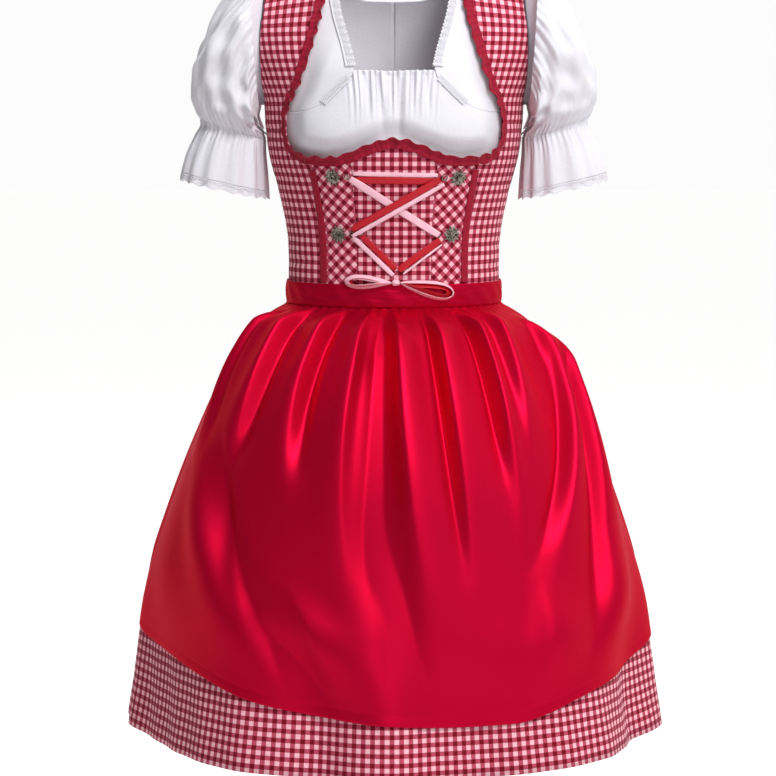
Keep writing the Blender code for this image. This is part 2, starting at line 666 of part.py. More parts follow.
for name, x, height in ROSETTES:
    bm = bmesh.new()
    sides = 2 * ROSETTE_PETALS
    bmesh.ops.create_grid(bm, x_segments=sides, y_segments=len(ROSETTE_RINGS) - 1, size=0.5)
    for vert in bm.verts:
        share, rise, notched = ROSETTE_RINGS[round((vert.co.y + 0.5) * (len(ROSETTE_RINGS) - 1))]
        turn = 2 * math.pi * (vert.co.x + 0.5)
        notch = 1 - ROSETTE_NOTCH * (1 - math.cos(ROSETTE_PETALS * turn)) if notched else 1.0
        radius = ROSETTE_RADIUS * share * notch
        vert.co = Vector((radius * math.cos(turn), radius * math.sin(turn), rise))
    bmesh.ops.remove_doubles(bm, verts=bm.verts, dist=1e-6)
    bmesh.ops.holes_fill(bm, edges=bm.edges, sides=sides)
    bmesh.ops.triangulate(bm, faces=bm.faces[:])
    bmesh.ops.recalc_face_normals(bm, faces=bm.faces)
    seat(bm, x, height, LAYER_GAP)
    add_object(f"rosette_{name}", bm, OLD_METAL)

    eyelet = bpy.data.curves.new(f"eyelet_{name}", "CURVE")
    eyelet.dimensions = "3D"
    eyelet.bevel_depth = EYELET_WIRE
    eyelet.bevel_resolution = 0
    ring = eyelet.splines.new("POLY")
    ring.points.add(EYELET_SIDES - 1)
    ring.use_cyclic_u = True
    inward = -1 if x > 0 else 1
    eyelet_x = x + inward * (ROSETTE_RADIUS + EYELET_RADIUS + 2 * EYELET_WIRE)
    for i in range(EYELET_SIDES):
        turn = 2 * math.pi * i / EYELET_SIDES
        place = on_front(eyelet_x + EYELET_RADIUS * math.cos(turn),
                         height + EYELET_RADIUS * math.sin(turn), LAYER_GAP + EYELET_WIRE)
        ring.points[i].co = (*place, 1.0)
    eyelet.materials.append(material(f"eyelet_{name}", *OLD_METAL))
    garment.objects.link(bpy.data.objects.new(f"eyelet_{name}", eyelet))

# Lacing ribbons
for name, colour, x0, z0, x1, z1, width, layer in STRANDS:
    def lay_strand(u, v):
        run = Vector((x1 - x0, 0.0, z1 - z0))
        up = Vector((-run.z, 0.0, run.x)).normalized()
        flat = Vector((x0, 0.0, z0)) + run * u + up * width * (v - 0.5)
        return on_front(flat.x, flat.z, FIRST_LAYER + layer * LAYER_STEP)

    cloth(f"ribbon_{name}", 6, 1, lay_strand, RIBBON_LOOKS[colour], RIBBON_WALL)

for name, reach, far_height, opening, colour, share in BOW_LOOPS:
    def lay_bow_loop(u, v):
        side = 1 if reach > 0 else -1
        start = Vector((BOW_X + side * BOW_START, 0.0, BOW_HEIGHT))
        run = Vector((reach, 0.0, far_height)) - start
        length = run.length
        run.normalize()
        up = Vector((-run.z, 0.0, run.x)) * side
        turn = 2 * math.pi * (u if side > 0 else 1 - u)
        along = 0.5 * (1 - math.cos(turn))
        open_here = opening * share * (BOW_NARROW + (1 - BOW_NARROW) * along)
        lift = -0.5 * open_here * math.sin(turn)
        along = BOW_CENTRE + (along - BOW_CENTRE) * share
        flat = start + run * along * length + up * lift
        return on_front(flat.x, flat.z, BOW_OUT + BOW_DEPTH * v)

    cloth(f"bow_loop_{name}", 14, 1, lay_bow_loop, RIBBON_LOOKS[colour], RIBBON_WALL,
          closed=True)

bm = bmesh.new()
bmesh.ops.create_icosphere(bm, subdivisions=2, radius=1.0)
bmesh.ops.scale(bm, vec=BOW_KNOT, verts=bm.verts)
seat(bm, BOW_X, BOW_HEIGHT, LAYER_GAP + BOW_KNOT[2])
add_object("bow_knot", bm, RIBBON_LOOKS["pale"])

# Skirt
def back_wave(angle, row):
    """Gathers under the waistband that run out into the hem folds."""
    turn = math.radians(angle)
    gathers = math.cos(2 * SKIRT_GATHERS * turn)
    folds = math.cos(2 * SKIRT_FOLDS * turn + 0.9 * math.sin(3 * turn))
    fullness = smoothstep(-0.44, -0.92, skirt.height(row))
    near_waist = smoothstep(-0.60, -0.43, skirt.height(row))
    return GATHER_DEPTH * gathers * near_waist + BACK_FOLD_DEPTH * folds * fullness ** 0.8


def front_wave(angle, row):
    """Broad soft folds that grow towards the hem, unevenly spaced."""
    turn = math.radians(angle)
    folds = math.cos(9 * turn + 1.1 * math.sin(4 * turn + 0.6))
    fullness = smoothstep(-0.62, -0.92, skirt.height(row))
    return FRONT_FOLD_DEPTH * folds * fullness


def skirt_wave(angle, row):
    """Front and back waves, blended over the side seams."""
    to_back = smoothstep(78.0, 100.0, abs(wrapped(angle)))
    return (1 - to_back) * front_wave(angle, row) + to_back * back_wave(angle, row)


skirt_rows = [skirt.row_at(level) for level in SKIRT_LEVELS]


def lay_skirt(start, end):
    """Lay half the skirt between its side seams."""
    def place(u, v):
        row = skirt_rows[round(v * (len(skirt_rows) - 1))]
        inset = math.degrees(SKIRT_SEAM / skirt.front(row))
        angle = start + inset + (end - start - 2 * inset) * u
        return skirt.outside(angle, row, skirt_wave(angle, row))

    return place


cloth("skirt_front", 32, len(SKIRT_LEVELS) - 1, lay_skirt(-90.0, 90.0),
      COTTON_RED, SKIRT_WALL)
cloth("skirt_back", 48, len(SKIRT_LEVELS) - 1, lay_skirt(90.0, 270.0),
      COTTON_RED, SKIRT_WALL)

# Apron
apron_hem = Curve(*columns(APRON_HEM))
apron_top_row = skirt.row_at(APRON_TOP)


def apron_fold(angle, height):
    """Height of the apron's folds over its ground."""
    rise = 0.0
    for top, middle, foot, start, end, most, half in APRON_FOLDS:
        f = (height - start) / (end - start)
        if 0.0 < f < 1.0:
            ridge = top * (1 - f) * (1 - 2 * f) + 4 * middle * f * (1 - f) + foot * f * (2 * f - 1)
            spread = (angle - ridge) / (half * (0.75 + 0.8 * f))
            along = smoothstep(0.0, 0.16, f) * smoothstep(1.0, 0.55, f)
            rise += most * along * math.exp(-spread * spread)
    return rise


def lay_apron(u, v):
    side = APRON_SIDE_HEM + (APRON_SIDE_TOP - APRON_SIDE_HEM) * v
    angle = side * (2 * u - 1)
    hem = skirt.row_at(apron_hem(APRON_SIDE_HEM * (2 * u - 1)))
    step = round(v * (len(APRON_ROWS) - 1))
    row = hem + (apron_top_row - hem) * APRON_ROWS[step]
    ground = APRON_OVER_SKIRT + skirt_wave(angle, row)
    return skirt.outside(angle, row, ground + apron_fold(angle, skirt.height(row)))


cloth("apron_skirt", 42, len(APRON_ROWS) - 1, lay_apron, SATIN, SATIN_WALL)


def lay_band(start, end):
    def place(u, v):
        return band.outside(start + (end - start) * u, v * band.top, 0.0)

    return place


cloth("apron_waistband", 24, 1, lay_band(-90.0, 90.0), SATIN, WAISTBAND_WALL)
cloth("apron_tie_left", 10, 1, lay_band(TIE_START, TIE_STOP), SATIN, SATIN_WALL)
cloth("apron_tie_right", 10, 1, lay_band(360.0 - TIE_STOP, 360.0 - TIE_START), SATIN, SATIN_WALL)

# Knot, loops and ends of the ties, at the centre back
bm = bmesh.new()
bmesh.ops.create_cube(bm, size=1.0)
bmesh.ops.scale(bm, vec=TIE_KNOT, verts=bm.verts)
bmesh.ops.bevel(bm, geom=bm.edges[:], offset=TIE_KNOT_BEVEL, segments=2, affect="EDGES",
                profile=0.5)
bmesh.ops.translate(bm, vec=(0.0, TIE_KNOT_Y, BACK_BOW_HEIGHT), verts=bm.verts)
add_object("apron_tie_knot", bm, SATIN)

for side_name, side in SIDES:
    def lay_tie_loop(u, v, side=side):
        turn = 2 * math.pi * (u if side < 0 else 1 - u)
        along = 0.5 * (1 - math.cos(turn))
        x = TIE_LOOP_START + TIE_LOOP_LENGTH * along
        # the loop follows the waist and stands off it as an open ribbon ring
        open_here = TIE_LOOP_HALF * (TIE_LOOP_NARROW + (1 - TIE_LOOP_NARROW) * along)
        y = TIE_LOOP_Y - TIE_LOOP_CURVE * x * x + open_here * math.sin(turn)
        narrow, wide = TIE_LOOP_WIDTHS
        width = narrow + (wide - narrow) * smoothstep(0.0, 0.5, along)
        z = BACK_BOW_HEIGHT - TIE_LOOP_DROP * along + width * (v - 0.5)
        return Vector((side * x, y + TIE_LOOP_RISE * along, z))

    def lay_tie_end(u, v, side=side):
        first, spread = TIE_END_SPREAD
        angle = 180.0 - side * (first + spread * u)
        narrow, wide = TIE_END_WIDTHS
        width = narrow + (wide - narrow) * smoothstep(0.0, 0.3, u)
        row = skirt.row_at(TIE_END_TOP - TIE_END_LENGTH * u)
        on_skirt = skirt.outside(angle, row, TIE_END_OUT)
        place = Vector(TIE_END_AT_KNOT).lerp(on_skirt, smoothstep(-0.03, 0.10, u))
        return place + Vector((side * TIE_END_SIDEWAYS + width * (0.5 - v), 0.0, 0.0))

    cloth(f"apron_tie_loop_{side_name}", 14, 1, lay_tie_loop, SATIN, SATIN_WALL, closed=True)
    cloth(f"apron_tie_end_{side_name}", 10, 1, lay_tie_end, SATIN, SATIN_WALL)

# Blouse
blouse_top = Curve(*columns(BLOUSE_TOP))
blouse_hem_row = torso.row_at(BLOUSE_HEM)
neck_rows, neck_angles, _, _ = edge_curves(torso, SIDE_FRONT[NECK_START:])
neck_keys = np.linspace(0, len(SIDE_FRONT) - NECK_START - 1, 80)
neck_x = [torso.point(neck_angles(key), neck_rows(key)).x for key in neck_keys]
neck_z = [torso.height(neck_rows(key)) for key in neck_keys]


def depth_in_opening(angle, row):
    """How far a place of the torso's front lies inside the bodice's neck opening."""
    x = abs(torso.half(row) * math.sin(math.radians(angle)))
    height = torso.height(row)
    above = height - sweetheart(min(abs(angle), PRINCESS_ANGLE))
    beside = min(math.hypot(x - a, height - b) for a, b in zip(neck_x, neck_z))
    outside = x > np.interp(height, neck_z, neck_x) or above < 0
    return 0.0 if outside else min(above, beside)


def blouse_out(angle, row):
    """The blouse lies inside the bodice and swells in the neck opening."""
    rise = smoothstep(0.006, 0.030, depth_in_opening(angle, row))
    lower = smoothstep(-0.10, -0.15, torso.height(row))
    return -BLOUSE_UNDER + rise * (BLOUSE_RISE + BLOUSE_BULGE * lower)


# angle of the blouse front over its width: closer columns under the gathered neck edge
front_angles = Curve((0.0, 0.20, 0.5, 0.80, 1.0),
                     (SIDE_SEAM - 90.0, -20.0, 0.0, 20.0, 90.0 - SIDE_SEAM))


def lay_blouse_front(u, v):
    angle = front_angles(u)
    top = torso.row_at(blouse_top(abs(angle)))
    row = blouse_hem_row + (top - blouse_hem_row) * v
    gathered = smoothstep(22.0, 16.0, abs(angle)) * smoothstep(0.5, 1.0, v)
    wave = NECK_WAVE * math.cos(math.pi * BLOUSE_FRONT_COLUMNS * u) * gathered
    inside = smoothstep(0.0, 0.02, depth_in_opening(angle, row))
    from_middle = (angle - BUST_VALLEY_ANGLE) / BUST_VALLEY_HALF
    valley = BUST_VALLEY * math.exp(-from_middle ** 2) * inside
    return torso.outside(angle, row, blouse_out(angle, row) + wave - valley)


cloth("blouse_front", BLOUSE_FRONT_COLUMNS, 6, lay_blouse_front, COTTON_WHITE, COTTON_WALL)


def lay_shoulder_piece(side):
    """Between the neck edge and the armhole; its foot follows the blouse front's seam."""
    row_a, angle_a, row_b, angle_b = edge_curves(torso, SHOULDER_PIECE)
    last = len(SHOULDER_PIECE) - 1

    def place(u, v):
        across = u if side > 0 else 1 - u
        key = v * last
        angle = angle_a(key) + (angle_b(key) - angle_a(key)) * across
        foot_angle = angle_a(0) + (angle_b(0) - angle_a(0)) * across
        row = row_a(key) + (row_b(key) - row_a(key)) * across
        foot_row = row_a(0) + (row_b(0) - row_a(0)) * across
        seam_row = torso.row_at(blouse_top(foot_angle) + 2 * SEAM_GAP)
        row += (seam_row - foot_row) * (1 - v) ** 4
        if row > torso.top - 1:
            row = min(row, torso.crest_row(angle, BLOUSE_CREST_GAP))
        return torso.outside(side * angle, row, blouse_out(side * angle, row))

    return place


for side_name, side in SIDES:
    cloth(f"blouse_shoulder_{side_name}", 5, len(SHOULDER_PIECE) - 1, lay_shoulder_piece(side),
          COTTON_WHITE, COTTON_WALL)
    cloth(f"blouse_back_{side_name}", 4, len(BLOUSE_BACK) - 1,
          ruled(torso, BLOUSE_BACK, side, -BLOUSE_BACK_UNDER, SIDE_SEAM, BACK_SEAM,
                BLOUSE_CREST_GAP),
          COTTON_WHITE, COTTON_WALL)


def armhole(fraction):
    """The top of the wearer's left sleeve, in the armhole of the bodice."""
    point, outward, into_hole = armhole_edge.frame(fraction)
    return point - outward * (BLOUSE_UNDER - SLEEVE_OUT) + into_hole * SLEEVE_PAST_ARMHOLE


sleeve_columns = [Curve(range(1, len(SLEEVE) + 1), column) for column in columns(SLEEVE)]


def sleeve_point(ring, fraction, side):
    """A point of the sleeve: ring 0 is the armhole, and the fraction runs round the arm."""
    outer_x, outer_z, inner_x, inner_z, depth, gather = (c(max(ring, 1)) for c in sleeve_columns)
    turn = 2 * math.pi * fraction
    height = math.copysign(abs(math.cos(turn)) ** SLEEVE_FULLNESS, math.cos(turn))
    side_way = math.copysign(abs(math.sin(turn)) ** SLEEVE_FULLNESS, math.sin(turn))
    across = 0.5 * (1 + height)
    x = inner_x + (outer_x - inner_x) * across
    z = inner_z + (outer_z - inner_z) * across
    point = Vector((x, -depth * side_way, z))
    centre = Vector(((inner_x + outer_x) / 2, 0.0, (inner_z + outer_z) / 2))
    wave = 0.5 + 0.5 * math.cos(turn * SLEEVE_GATHERS)
    point += (point - centre).normalized() * gather * wave
    if ring <= 1:
        edge, _, into_hole = armhole_edge.frame(fraction)
        short = SLEEVE_PAST_ARMHOLE - (point - edge).dot(into_hole)
        point = armhole(fraction).lerp(point + into_hole * max(short, 0.0), ring)
    return Vector((side * point.x, point.y, point.z))


for side_name, side in SIDES:
    def lay_sleeve(u, v, side=side):
        turn = 1 - u if side > 0 else u
        return sleeve_point(SLEEVE_HEM * (1 - v), turn, side)

    def lay_cuff_lace(u, v, side=side):
        turn = 1 - u if side > 0 else u
        scallop = 0.5 + 0.5 * math.cos(2 * math.pi * CUFF_SCALLOPS * u)
        length = CUFF_LACE_SHORT + CUFF_LACE_SCALLOP * scallop
        below = CUFF_LACE_START + (length - CUFF_LACE_START) * (1 - v)
        return sleeve_point(SLEEVE_HEM + below, turn, side)

    cloth(f"sleeve_{side_name}", 28, 11, lay_sleeve, COTTON_WHITE, COTTON_WALL, closed=True)
    cloth(f"cuff_lace_{side_name}", 2 * CUFF_SCALLOPS, 1, lay_cuff_lace, COTTON_WHITE,
          COTTON_WALL, closed=True)

shoulder_rows, shoulder_angles, _, _ = edge_curves(torso, SHOULDER_PIECE)
for side_name, side in SIDES:
    def lay_neck_lace(u, v, side=side):
        key = 1.0 + (len(SHOULDER_PIECE) - 2.1) * v
        row = shoulder_rows(key)
        across = u if side > 0 else 1 - u
        width = math.degrees(NECK_LACE_WIDTH / torso.half(row))
        angle = side * (shoulder_angles(key) - NECK_LACE_OVERLAP + width * across)
        out = blouse_out(side * (shoulder_angles(key) + 0.5 * width), row)
        return torso.outside(angle, row, out + COTTON_WALL + 2 * LAYER_GAP)

    cloth(f"neck_lace_{side_name}", 1, 14, lay_neck_lace, COTTON_WHITE, COTTON_WALL)

(insert_x0, insert_z0), (insert_x1, insert_z1) = INSERT_LACE
for side_name, side in SIDES:
    def lay_insert_lace(u, v, side=side):
        run = Vector((insert_x1 - insert_x0, 0.0, insert_z1 - insert_z0))
        up = Vector((-run.z, 0.0, run.x)).normalized()
        across = v - 0.5 if side > 0 else 0.5 - v
        flat = Vector((insert_x0, 0.0, insert_z0)) + run * u + up * INSERT_LACE_WIDTH * across
        row = torso.row_at(flat.z)
        angle = side * angle_of(torso, flat.x, row)
        return torso.outside(angle, row, blouse_out(angle, row) + COTTON_WALL + 2 * LAYER_GAP)

    cloth(f"insert_lace_{side_name}", 4, 1, lay_insert_lace, COTTON_WHITE, COTTON_WALL)
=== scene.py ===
import math

import bpy
import numpy as np
from mathutils import Matrix, Vector


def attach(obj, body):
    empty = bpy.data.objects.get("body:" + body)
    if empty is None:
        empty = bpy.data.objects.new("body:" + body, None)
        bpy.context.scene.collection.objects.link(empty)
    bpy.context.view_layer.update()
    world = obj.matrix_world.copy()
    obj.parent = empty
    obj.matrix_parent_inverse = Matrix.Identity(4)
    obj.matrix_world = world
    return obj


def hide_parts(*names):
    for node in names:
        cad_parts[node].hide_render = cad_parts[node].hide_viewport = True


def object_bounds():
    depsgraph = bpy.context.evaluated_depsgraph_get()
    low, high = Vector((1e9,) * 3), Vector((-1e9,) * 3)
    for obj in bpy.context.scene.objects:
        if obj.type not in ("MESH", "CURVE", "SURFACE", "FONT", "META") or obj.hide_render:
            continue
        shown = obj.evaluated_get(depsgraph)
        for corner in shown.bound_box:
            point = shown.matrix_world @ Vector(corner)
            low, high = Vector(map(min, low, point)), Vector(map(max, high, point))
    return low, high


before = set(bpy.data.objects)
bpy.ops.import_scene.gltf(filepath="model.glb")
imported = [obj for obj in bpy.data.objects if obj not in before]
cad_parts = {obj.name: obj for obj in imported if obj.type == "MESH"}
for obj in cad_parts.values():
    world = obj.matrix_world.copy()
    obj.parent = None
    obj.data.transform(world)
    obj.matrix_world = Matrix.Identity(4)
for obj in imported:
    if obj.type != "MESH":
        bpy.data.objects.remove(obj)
cad_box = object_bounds()

# The camera stands 3 m in front of the dress, at the height of the bodice, and looks a
# little down. Its frame cuts the shoulders and the hem as the photograph does.
camera_data = bpy.data.cameras.new("camera")
camera_data.sensor_width = 36.0
camera_data.lens = 116.8
camera = bpy.data.objects.new("camera", camera_data)
bpy.context.scene.collection.objects.link(camera)
camera.location = (-0.007, -3.0, -0.17)
camera_aim = Vector((-0.007, 0.0, -0.52))
camera.rotation_euler = (camera_aim - camera.location).to_track_quat("-Z", "Y").to_euler()
bpy.context.scene.camera = camera


# The floor is a white studio floor of acrylic, back-lit behind the hanging dress. Three
# soft boxes light the dress: a key high on the right, a weak fill in front, one above.
def linear(colour):
    """A colour written as sRGB hex, as the linear values that Blender uses."""
    parts = [int(colour[i:i + 2], 16) / 255 for i in (1, 3, 5)]
    return (*[p / 12.92 if p <= 0.04045 else ((p + 0.055) / 1.055) ** 2.4 for p in parts], 1.0)


def add_node(tree, kind, settings=(), inputs=()):
    """Add a shader node with its settings, and its inputs set or linked."""
    made = tree.nodes.new(kind)
    for key, value in dict(settings).items():
        setattr(made, key, value)
    for key, value in dict(inputs).items():
        if isinstance(value, bpy.types.NodeSocket):
            tree.links.new(value, made.inputs[key])
        else:
            made.inputs[key].default_value = value
    return made


def new_material(name, values):
    """A material with these values set on its Principled BSDF, its tree and that shader."""
    made = bpy.data.materials.new(name)
    made.use_nodes = True
    shader = made.node_tree.nodes["Principled BSDF"]
    for key, value in values.items():
        shader.inputs[key].default_value = value
    return made, made.node_tree, shader


def deselect():
    bpy.ops.object.select_all(action="DESELECT")


FLOOR_DROP = 0.48          # the floor lies this far below the hem
deselect()
bpy.ops.mesh.primitive_circle_add(vertices=96, radius=30.0, fill_type="NGON",
                                  location=(0, 0, cad_box[0].z - FLOOR_DROP))
floor = bpy.context.object
floor.name = "floor"
# back-lit white acrylic: matt, with its lamps under the part behind the dress
acrylic, tree, shader = new_material("backlit_white_acrylic", {
    "Base Color": linear("#F0F0EF"), "Roughness": 0.9, "Emission Color": linear("#FFFFFF")})
lamps = add_node(tree, "ShaderNodeSeparateXYZ", {}, {
    "Vector": add_node(tree, "ShaderNodeTexCoord").outputs["Object"]})
lamp_light = add_node(tree, "ShaderNodeMapRange", {}, {
    "Value": lamps.outputs["Y"], "From Min": 0.3, "From Max": 1.4, "To Min": 0.0, "To Max": 0.54})
tree.links.new(lamp_light.outputs["Result"], shader.inputs["Emission Strength"])
floor.data.materials.append(acrylic)

# the room: white behind the dress, dimmer behind the camera and on the left
world = bpy.data.worlds.new("studio")
bpy.context.scene.world = world
bpy.context.scene.view_settings.view_transform = "Standard"
world.use_nodes = True
room = world.node_tree.nodes["Background"]
room.inputs["Color"].default_value = linear("#FCFCFC")
direction = add_node(world.node_tree, "ShaderNodeTexCoord").outputs["Generated"]
depth = add_node(world.node_tree, "ShaderNodeVectorMath", {"operation": "DOT_PRODUCT"}, {
    0: direction, 1: (0.45, 1.0, 0.0)})
room_light = add_node(world.node_tree, "ShaderNodeMapRange", {}, {
    "Value": depth.outputs["Value"], "From Min": -0.2, "From Max": 0.6, "To Min": 0.16,
    "To Max": 1.0})
world.node_tree.links.new(room_light.outputs["Result"], room.inputs["Strength"])

# name, place, aim, size, watts
for name, place, aim, size, power in (
        ("key", (1.0, -2.1, 2.1), (0.0, 0.0, -0.45), 1.1, 90.0),
        ("fill", (1.2, -3.2, 0.2), (0.0, 0.0, -0.45), 1.3, 17.0),
        ("top", (0.2, -0.2, 2.4), (0.0, 0.0, -0.4), 1.4, 24.0)):
    light_data = bpy.data.lights.new(name, "AREA")
    light_data.shape = "SQUARE"
    light_data.size = size
    light_data.energy = power
    light = bpy.data.objects.new(name, light_data)
    light.location = place
    light.rotation_euler = (Vector(aim) - Vector(place)).to_track_quat("-Z", "Y").to_euler()
    bpy.context.scene.collection.objects.link(light)


# The bodice: seven panels of 5 mm gingham, cut on the straight grain but for the two
# hook panels, which are on the bias. They are seamed edge to edge over a smooth form.
def spline(keys, values):
    """A smooth curve through the values of a table that never swings past them."""
    keys = np.asarray(keys, float)
    values = np.asarray(values, float)
    steps = np.diff(keys)
    rise = np.diff(values) / steps
    both = rise[:-1] * rise[1:]
    total = np.where(both > 0, rise[:-1] + rise[1:], 1.0)
    slopes = np.concatenate([rise[:1], np.where(both > 0, 2 * both / total, 0.0), rise[-1:]])

    def read(key):
        key = np.clip(key, keys[0], keys[-1])
        i = np.clip(np.searchsorted(keys, key, side="right") - 1, 0, len(steps) - 1)
        step = steps[i]
        f = (key - keys[i]) / step
        bend = slopes[i] * step * f * (1 - f) ** 2 - slopes[i + 1] * step * f * f * (1 - f)
        return values[i] + bend + (values[i + 1] - values[i]) * f * f * (3 - 2 * f)

    return read


def ease(start, end, value):
    """0 before the start, 1 after the end, and a soft step between."""
    f = np.clip((value - start) / (end - start), 0.0, 1.0)
    return f * f * (3 - 2 * f)


class Form:
    """A hollow form whose level sections are two half ellipses; angle 0 is the front."""

    def __init__(self, table, slope=0.0, bust=0.0):
        columns = [list(column) for column in zip(*table)]
        self.top = len(table) - 1
        self.slope = slope
        self.bust = bust
        if slope:
            for column, sign in zip(columns, (1, 1, -1, -1)):
                column.append(sign * column[-2])
        rows = range(len(columns[0]))
        self.height, self.half, self.front, self.back = (spline(rows, c) for c in columns)
        self.samples = np.linspace(0, self.top, 60 * self.top + 1)

    def row_at(self, height):
        return np.interp(height, self.height(self.samples), self.samples)

    def point(self, angle, row):
        turn = np.radians(angle)
        x = self.half(row) * np.sin(turn)
        depth = np.where(np.cos(turn) > 0, self.front(row), self.back(row))
        y = -depth * np.cos(turn)
        z = self.height(row)
        if self.slope:
            fall = self.slope * np.maximum(0.0, np.abs(x) - SHOULDER_START)
            aside = (np.abs((angle + 180) % 360 - 180) - BUST_ANGLE) / 17.0
            y = y - self.bust * np.exp(-aside ** 2 - ((z - BUST_HEIGHT) / 0.040) ** 2)
            z = z - fall * ease(SHOULDER_FOOT, self.top, np.minimum(row, self.top))
        return np.stack(np.broadcast_arrays(x, y, z), axis=-1)

    def outside(self, angle, row, out):
        """Points of the form at an angle and row, moved outwards."""
        around = self.point(angle + 0.5, row) - self.point(angle - 0.5, row)
        up = self.point(angle, row + 0.02) - self.point(angle, np.maximum(row - 0.02, 0.0))
        normal = np.cross(around, up)
        normal /= np.linalg.norm(normal, axis=-1, keepdims=True)
        return self.point(angle, row) + normal * np.asarray(out)[..., None]

    def crest_row(self, angle, gap):
        """The highest row that still lies this far from the line over the shoulder."""
        rows = np.linspace(self.top, self.top - 1, 200)
        turn = np.radians(angle)
        need = gap / np.maximum(np.abs(np.cos(turn)), 1e-6)
        ahead = np.interp(need, self.front(rows), rows)
        behind = np.interp(need, self.back(rows), rows)
        return np.where(np.cos(turn) > 0, ahead, behind)

    def grain(self, angle, row, middle):
        """Metres along the cloth, across from the line at the middle angle and up it."""
        shares = np.linspace(0.0, 1.0, 25)[:, None]
        around = self.point(middle + (angle - middle) * shares, row)
        upward = self.point(middle + 0.0 * angle, row * shares)
        across = np.linalg.norm(np.diff(around, axis=0), axis=-1).sum(axis=0)
        along = np.linalg.norm(np.diff(upward, axis=0), axis=-1).sum(axis=0)
        return np.stack([across * np.sign(angle - middle), along], axis=-1)


# height, half width, depth in front, depth behind, from below the waist to the shoulder
TORSO = (
    (-0.425, 0.1270, 0.0920, 0.0870),
    (-0.394, 0.1255, 0.0900, 0.0850),
    (-0.360, 0.1255, 0.0905, 0.0845),
    (-0.330, 0.1275, 0.0940, 0.0860),
    (-0.300, 0.1330, 0.1010, 0.0900),
    (-0.270, 0.1405, 0.1100, 0.0945),
    (-0.240, 0.1480, 0.1180, 0.0975),
    (-0.210, 0.1520, 0.1215, 0.0995),
    (-0.180, 0.1535, 0.1190, 0.1010),
    (-0.150, 0.1625, 0.1115, 0.1030),
    (-0.120, 0.1715, 0.1020, 0.1020),
    (-0.090, 0.1750, 0.0885, 0.0970),
    (-0.060, 0.1740, 0.0710, 0.0850),
    (-0.034, 0.1710, 0.0500, 0.0640),
    (-0.014, 0.1680, 0.0270, 0.0360),
    (-0.006, 0.1660, 0.0000, 0.0000),
)
SHOULDER_SLOPE = 0.33
SHOULDER_START = 0.060
SHOULDER_FOOT = 10
BUST_ANGLE = 36.0
BUST_HEIGHT = -0.213
BUST_RISE = 0.009
torso = Form(TORSO, SHOULDER_SLOPE, BUST_RISE)

SIDES = (("right", -1), ("left", 1))
PRINCESS_ANGLE = 40.8
CENTRE_SEAM_ANGLE = 20.0
FRONT_SEAM = 0.05          # half gaps of the seams, in degrees round the form
SIDE_SEAM = 0.04
BACK_SEAM = 0.04
CREST_GAP = 0.0005
# sweetheart edge: angle, height
SWEETHEART = (
    (0.0, -0.2250), (6.5, -0.2280), (14.5, -0.2360), (22.0, -0.2430), (31.0, -0.2460),
    (40.8, -0.2445),
)
sweetheart = spline(*zip(*SWEETHEART))
BODICE_HEM = -0.3925
# side front: height and angle of the inner edge, then of the outer edge
SIDE_FRONT = (
    (-0.3925, 40.8, -0.3925, 90.0),
    (-0.3660, 40.8, -0.3680, 90.0),
    (-0.3400, 40.8, -0.3430, 90.0),
    (-0.3150, 40.8, -0.3180, 90.0),
    (-0.2900, 40.8, -0.2940, 90.0),
    (-0.2670, 40.8, -0.2720, 90.0),
    (-0.2445, 40.8, -0.2520, 90.0),
    (-0.2430, 45.0, -0.2380, 90.0),
    (-0.2385, 50.0, -0.2260, 90.0),
    (-0.2290, 54.2, -0.2160, 90.0),
    (-0.2150, 55.7, -0.2050, 90.0),
    (-0.1990, 55.4, -0.1950, 90.0),
    (-0.1800, 52.4, -0.1860, 90.0),
    (-0.1620, 45.5, -0.1700, 82.0),
    (-0.1450, 40.8, -0.1500, 74.0),
    (-0.1250, 36.4, -0.1300, 68.0),
    (-0.1050, 33.2, -0.1070, 64.3),
    (-0.0850, 30.9, -0.0850, 62.3),
    (-0.0600, 29.2, -0.0600, 61.0),
    (-0.0340, 28.6, -0.0340, 61.5),
    (-0.0180, 28.6, -0.0180, 62.3),
    (-0.0090, 28.7, -0.0090, 63.2),
    (-0.0060, 28.8, -0.0060, 64.0),
)
NECK_START = 6             # row of the side front where its neck edge begins
UNDERARM = 12              # row where its armhole begins
# back: height and angle of the side edge, then of the centre-back and neck edge
SIDE_BACK = (
    (-0.3925, 90.0, -0.3925, 180.0),
    (-0.3400, 90.0, -0.3250, 180.0),
    (-0.2900, 90.0, -0.2600, 180.0),
    (-0.2400, 90.0, -0.2000, 180.0),
    (-0.2100, 90.0, -0.1500, 180.0),
    (-0.1860, 90.0, -0.1100, 180.0),
    (-0.1650, 98.0, -0.0780, 180.0),
    (-0.1450, 106.5, -0.0765, 171.0),
    (-0.1200, 113.0, -0.0690, 163.3),
    (-0.0900, 117.0, -0.0520, 158.0),
    (-0.0600, 119.0, -0.0340, 154.7),
    (-0.0340, 118.5, -0.0180, 152.8),
    (-0.0180, 117.7, -0.0130, 152.0),
    (-0.0090, 116.8, -0.0090, 151.5),
    (-0.0060, 116.0, -0.0060, 151.2),
)
BACK_NECK_START = 6
BACK_UNDERARM = 5


def edges(table):
    """Row and angle of both edges of a panel, as curves over the rows of its table."""
    keys = range(len(table))
    heights_a, angles_a, heights_b, angles_b = zip(*table)
    return (spline(keys, torso.row_at(heights_a)), spline(keys, angles_a),
            spline(keys, torso.row_at(heights_b)), spline(keys, angles_b))


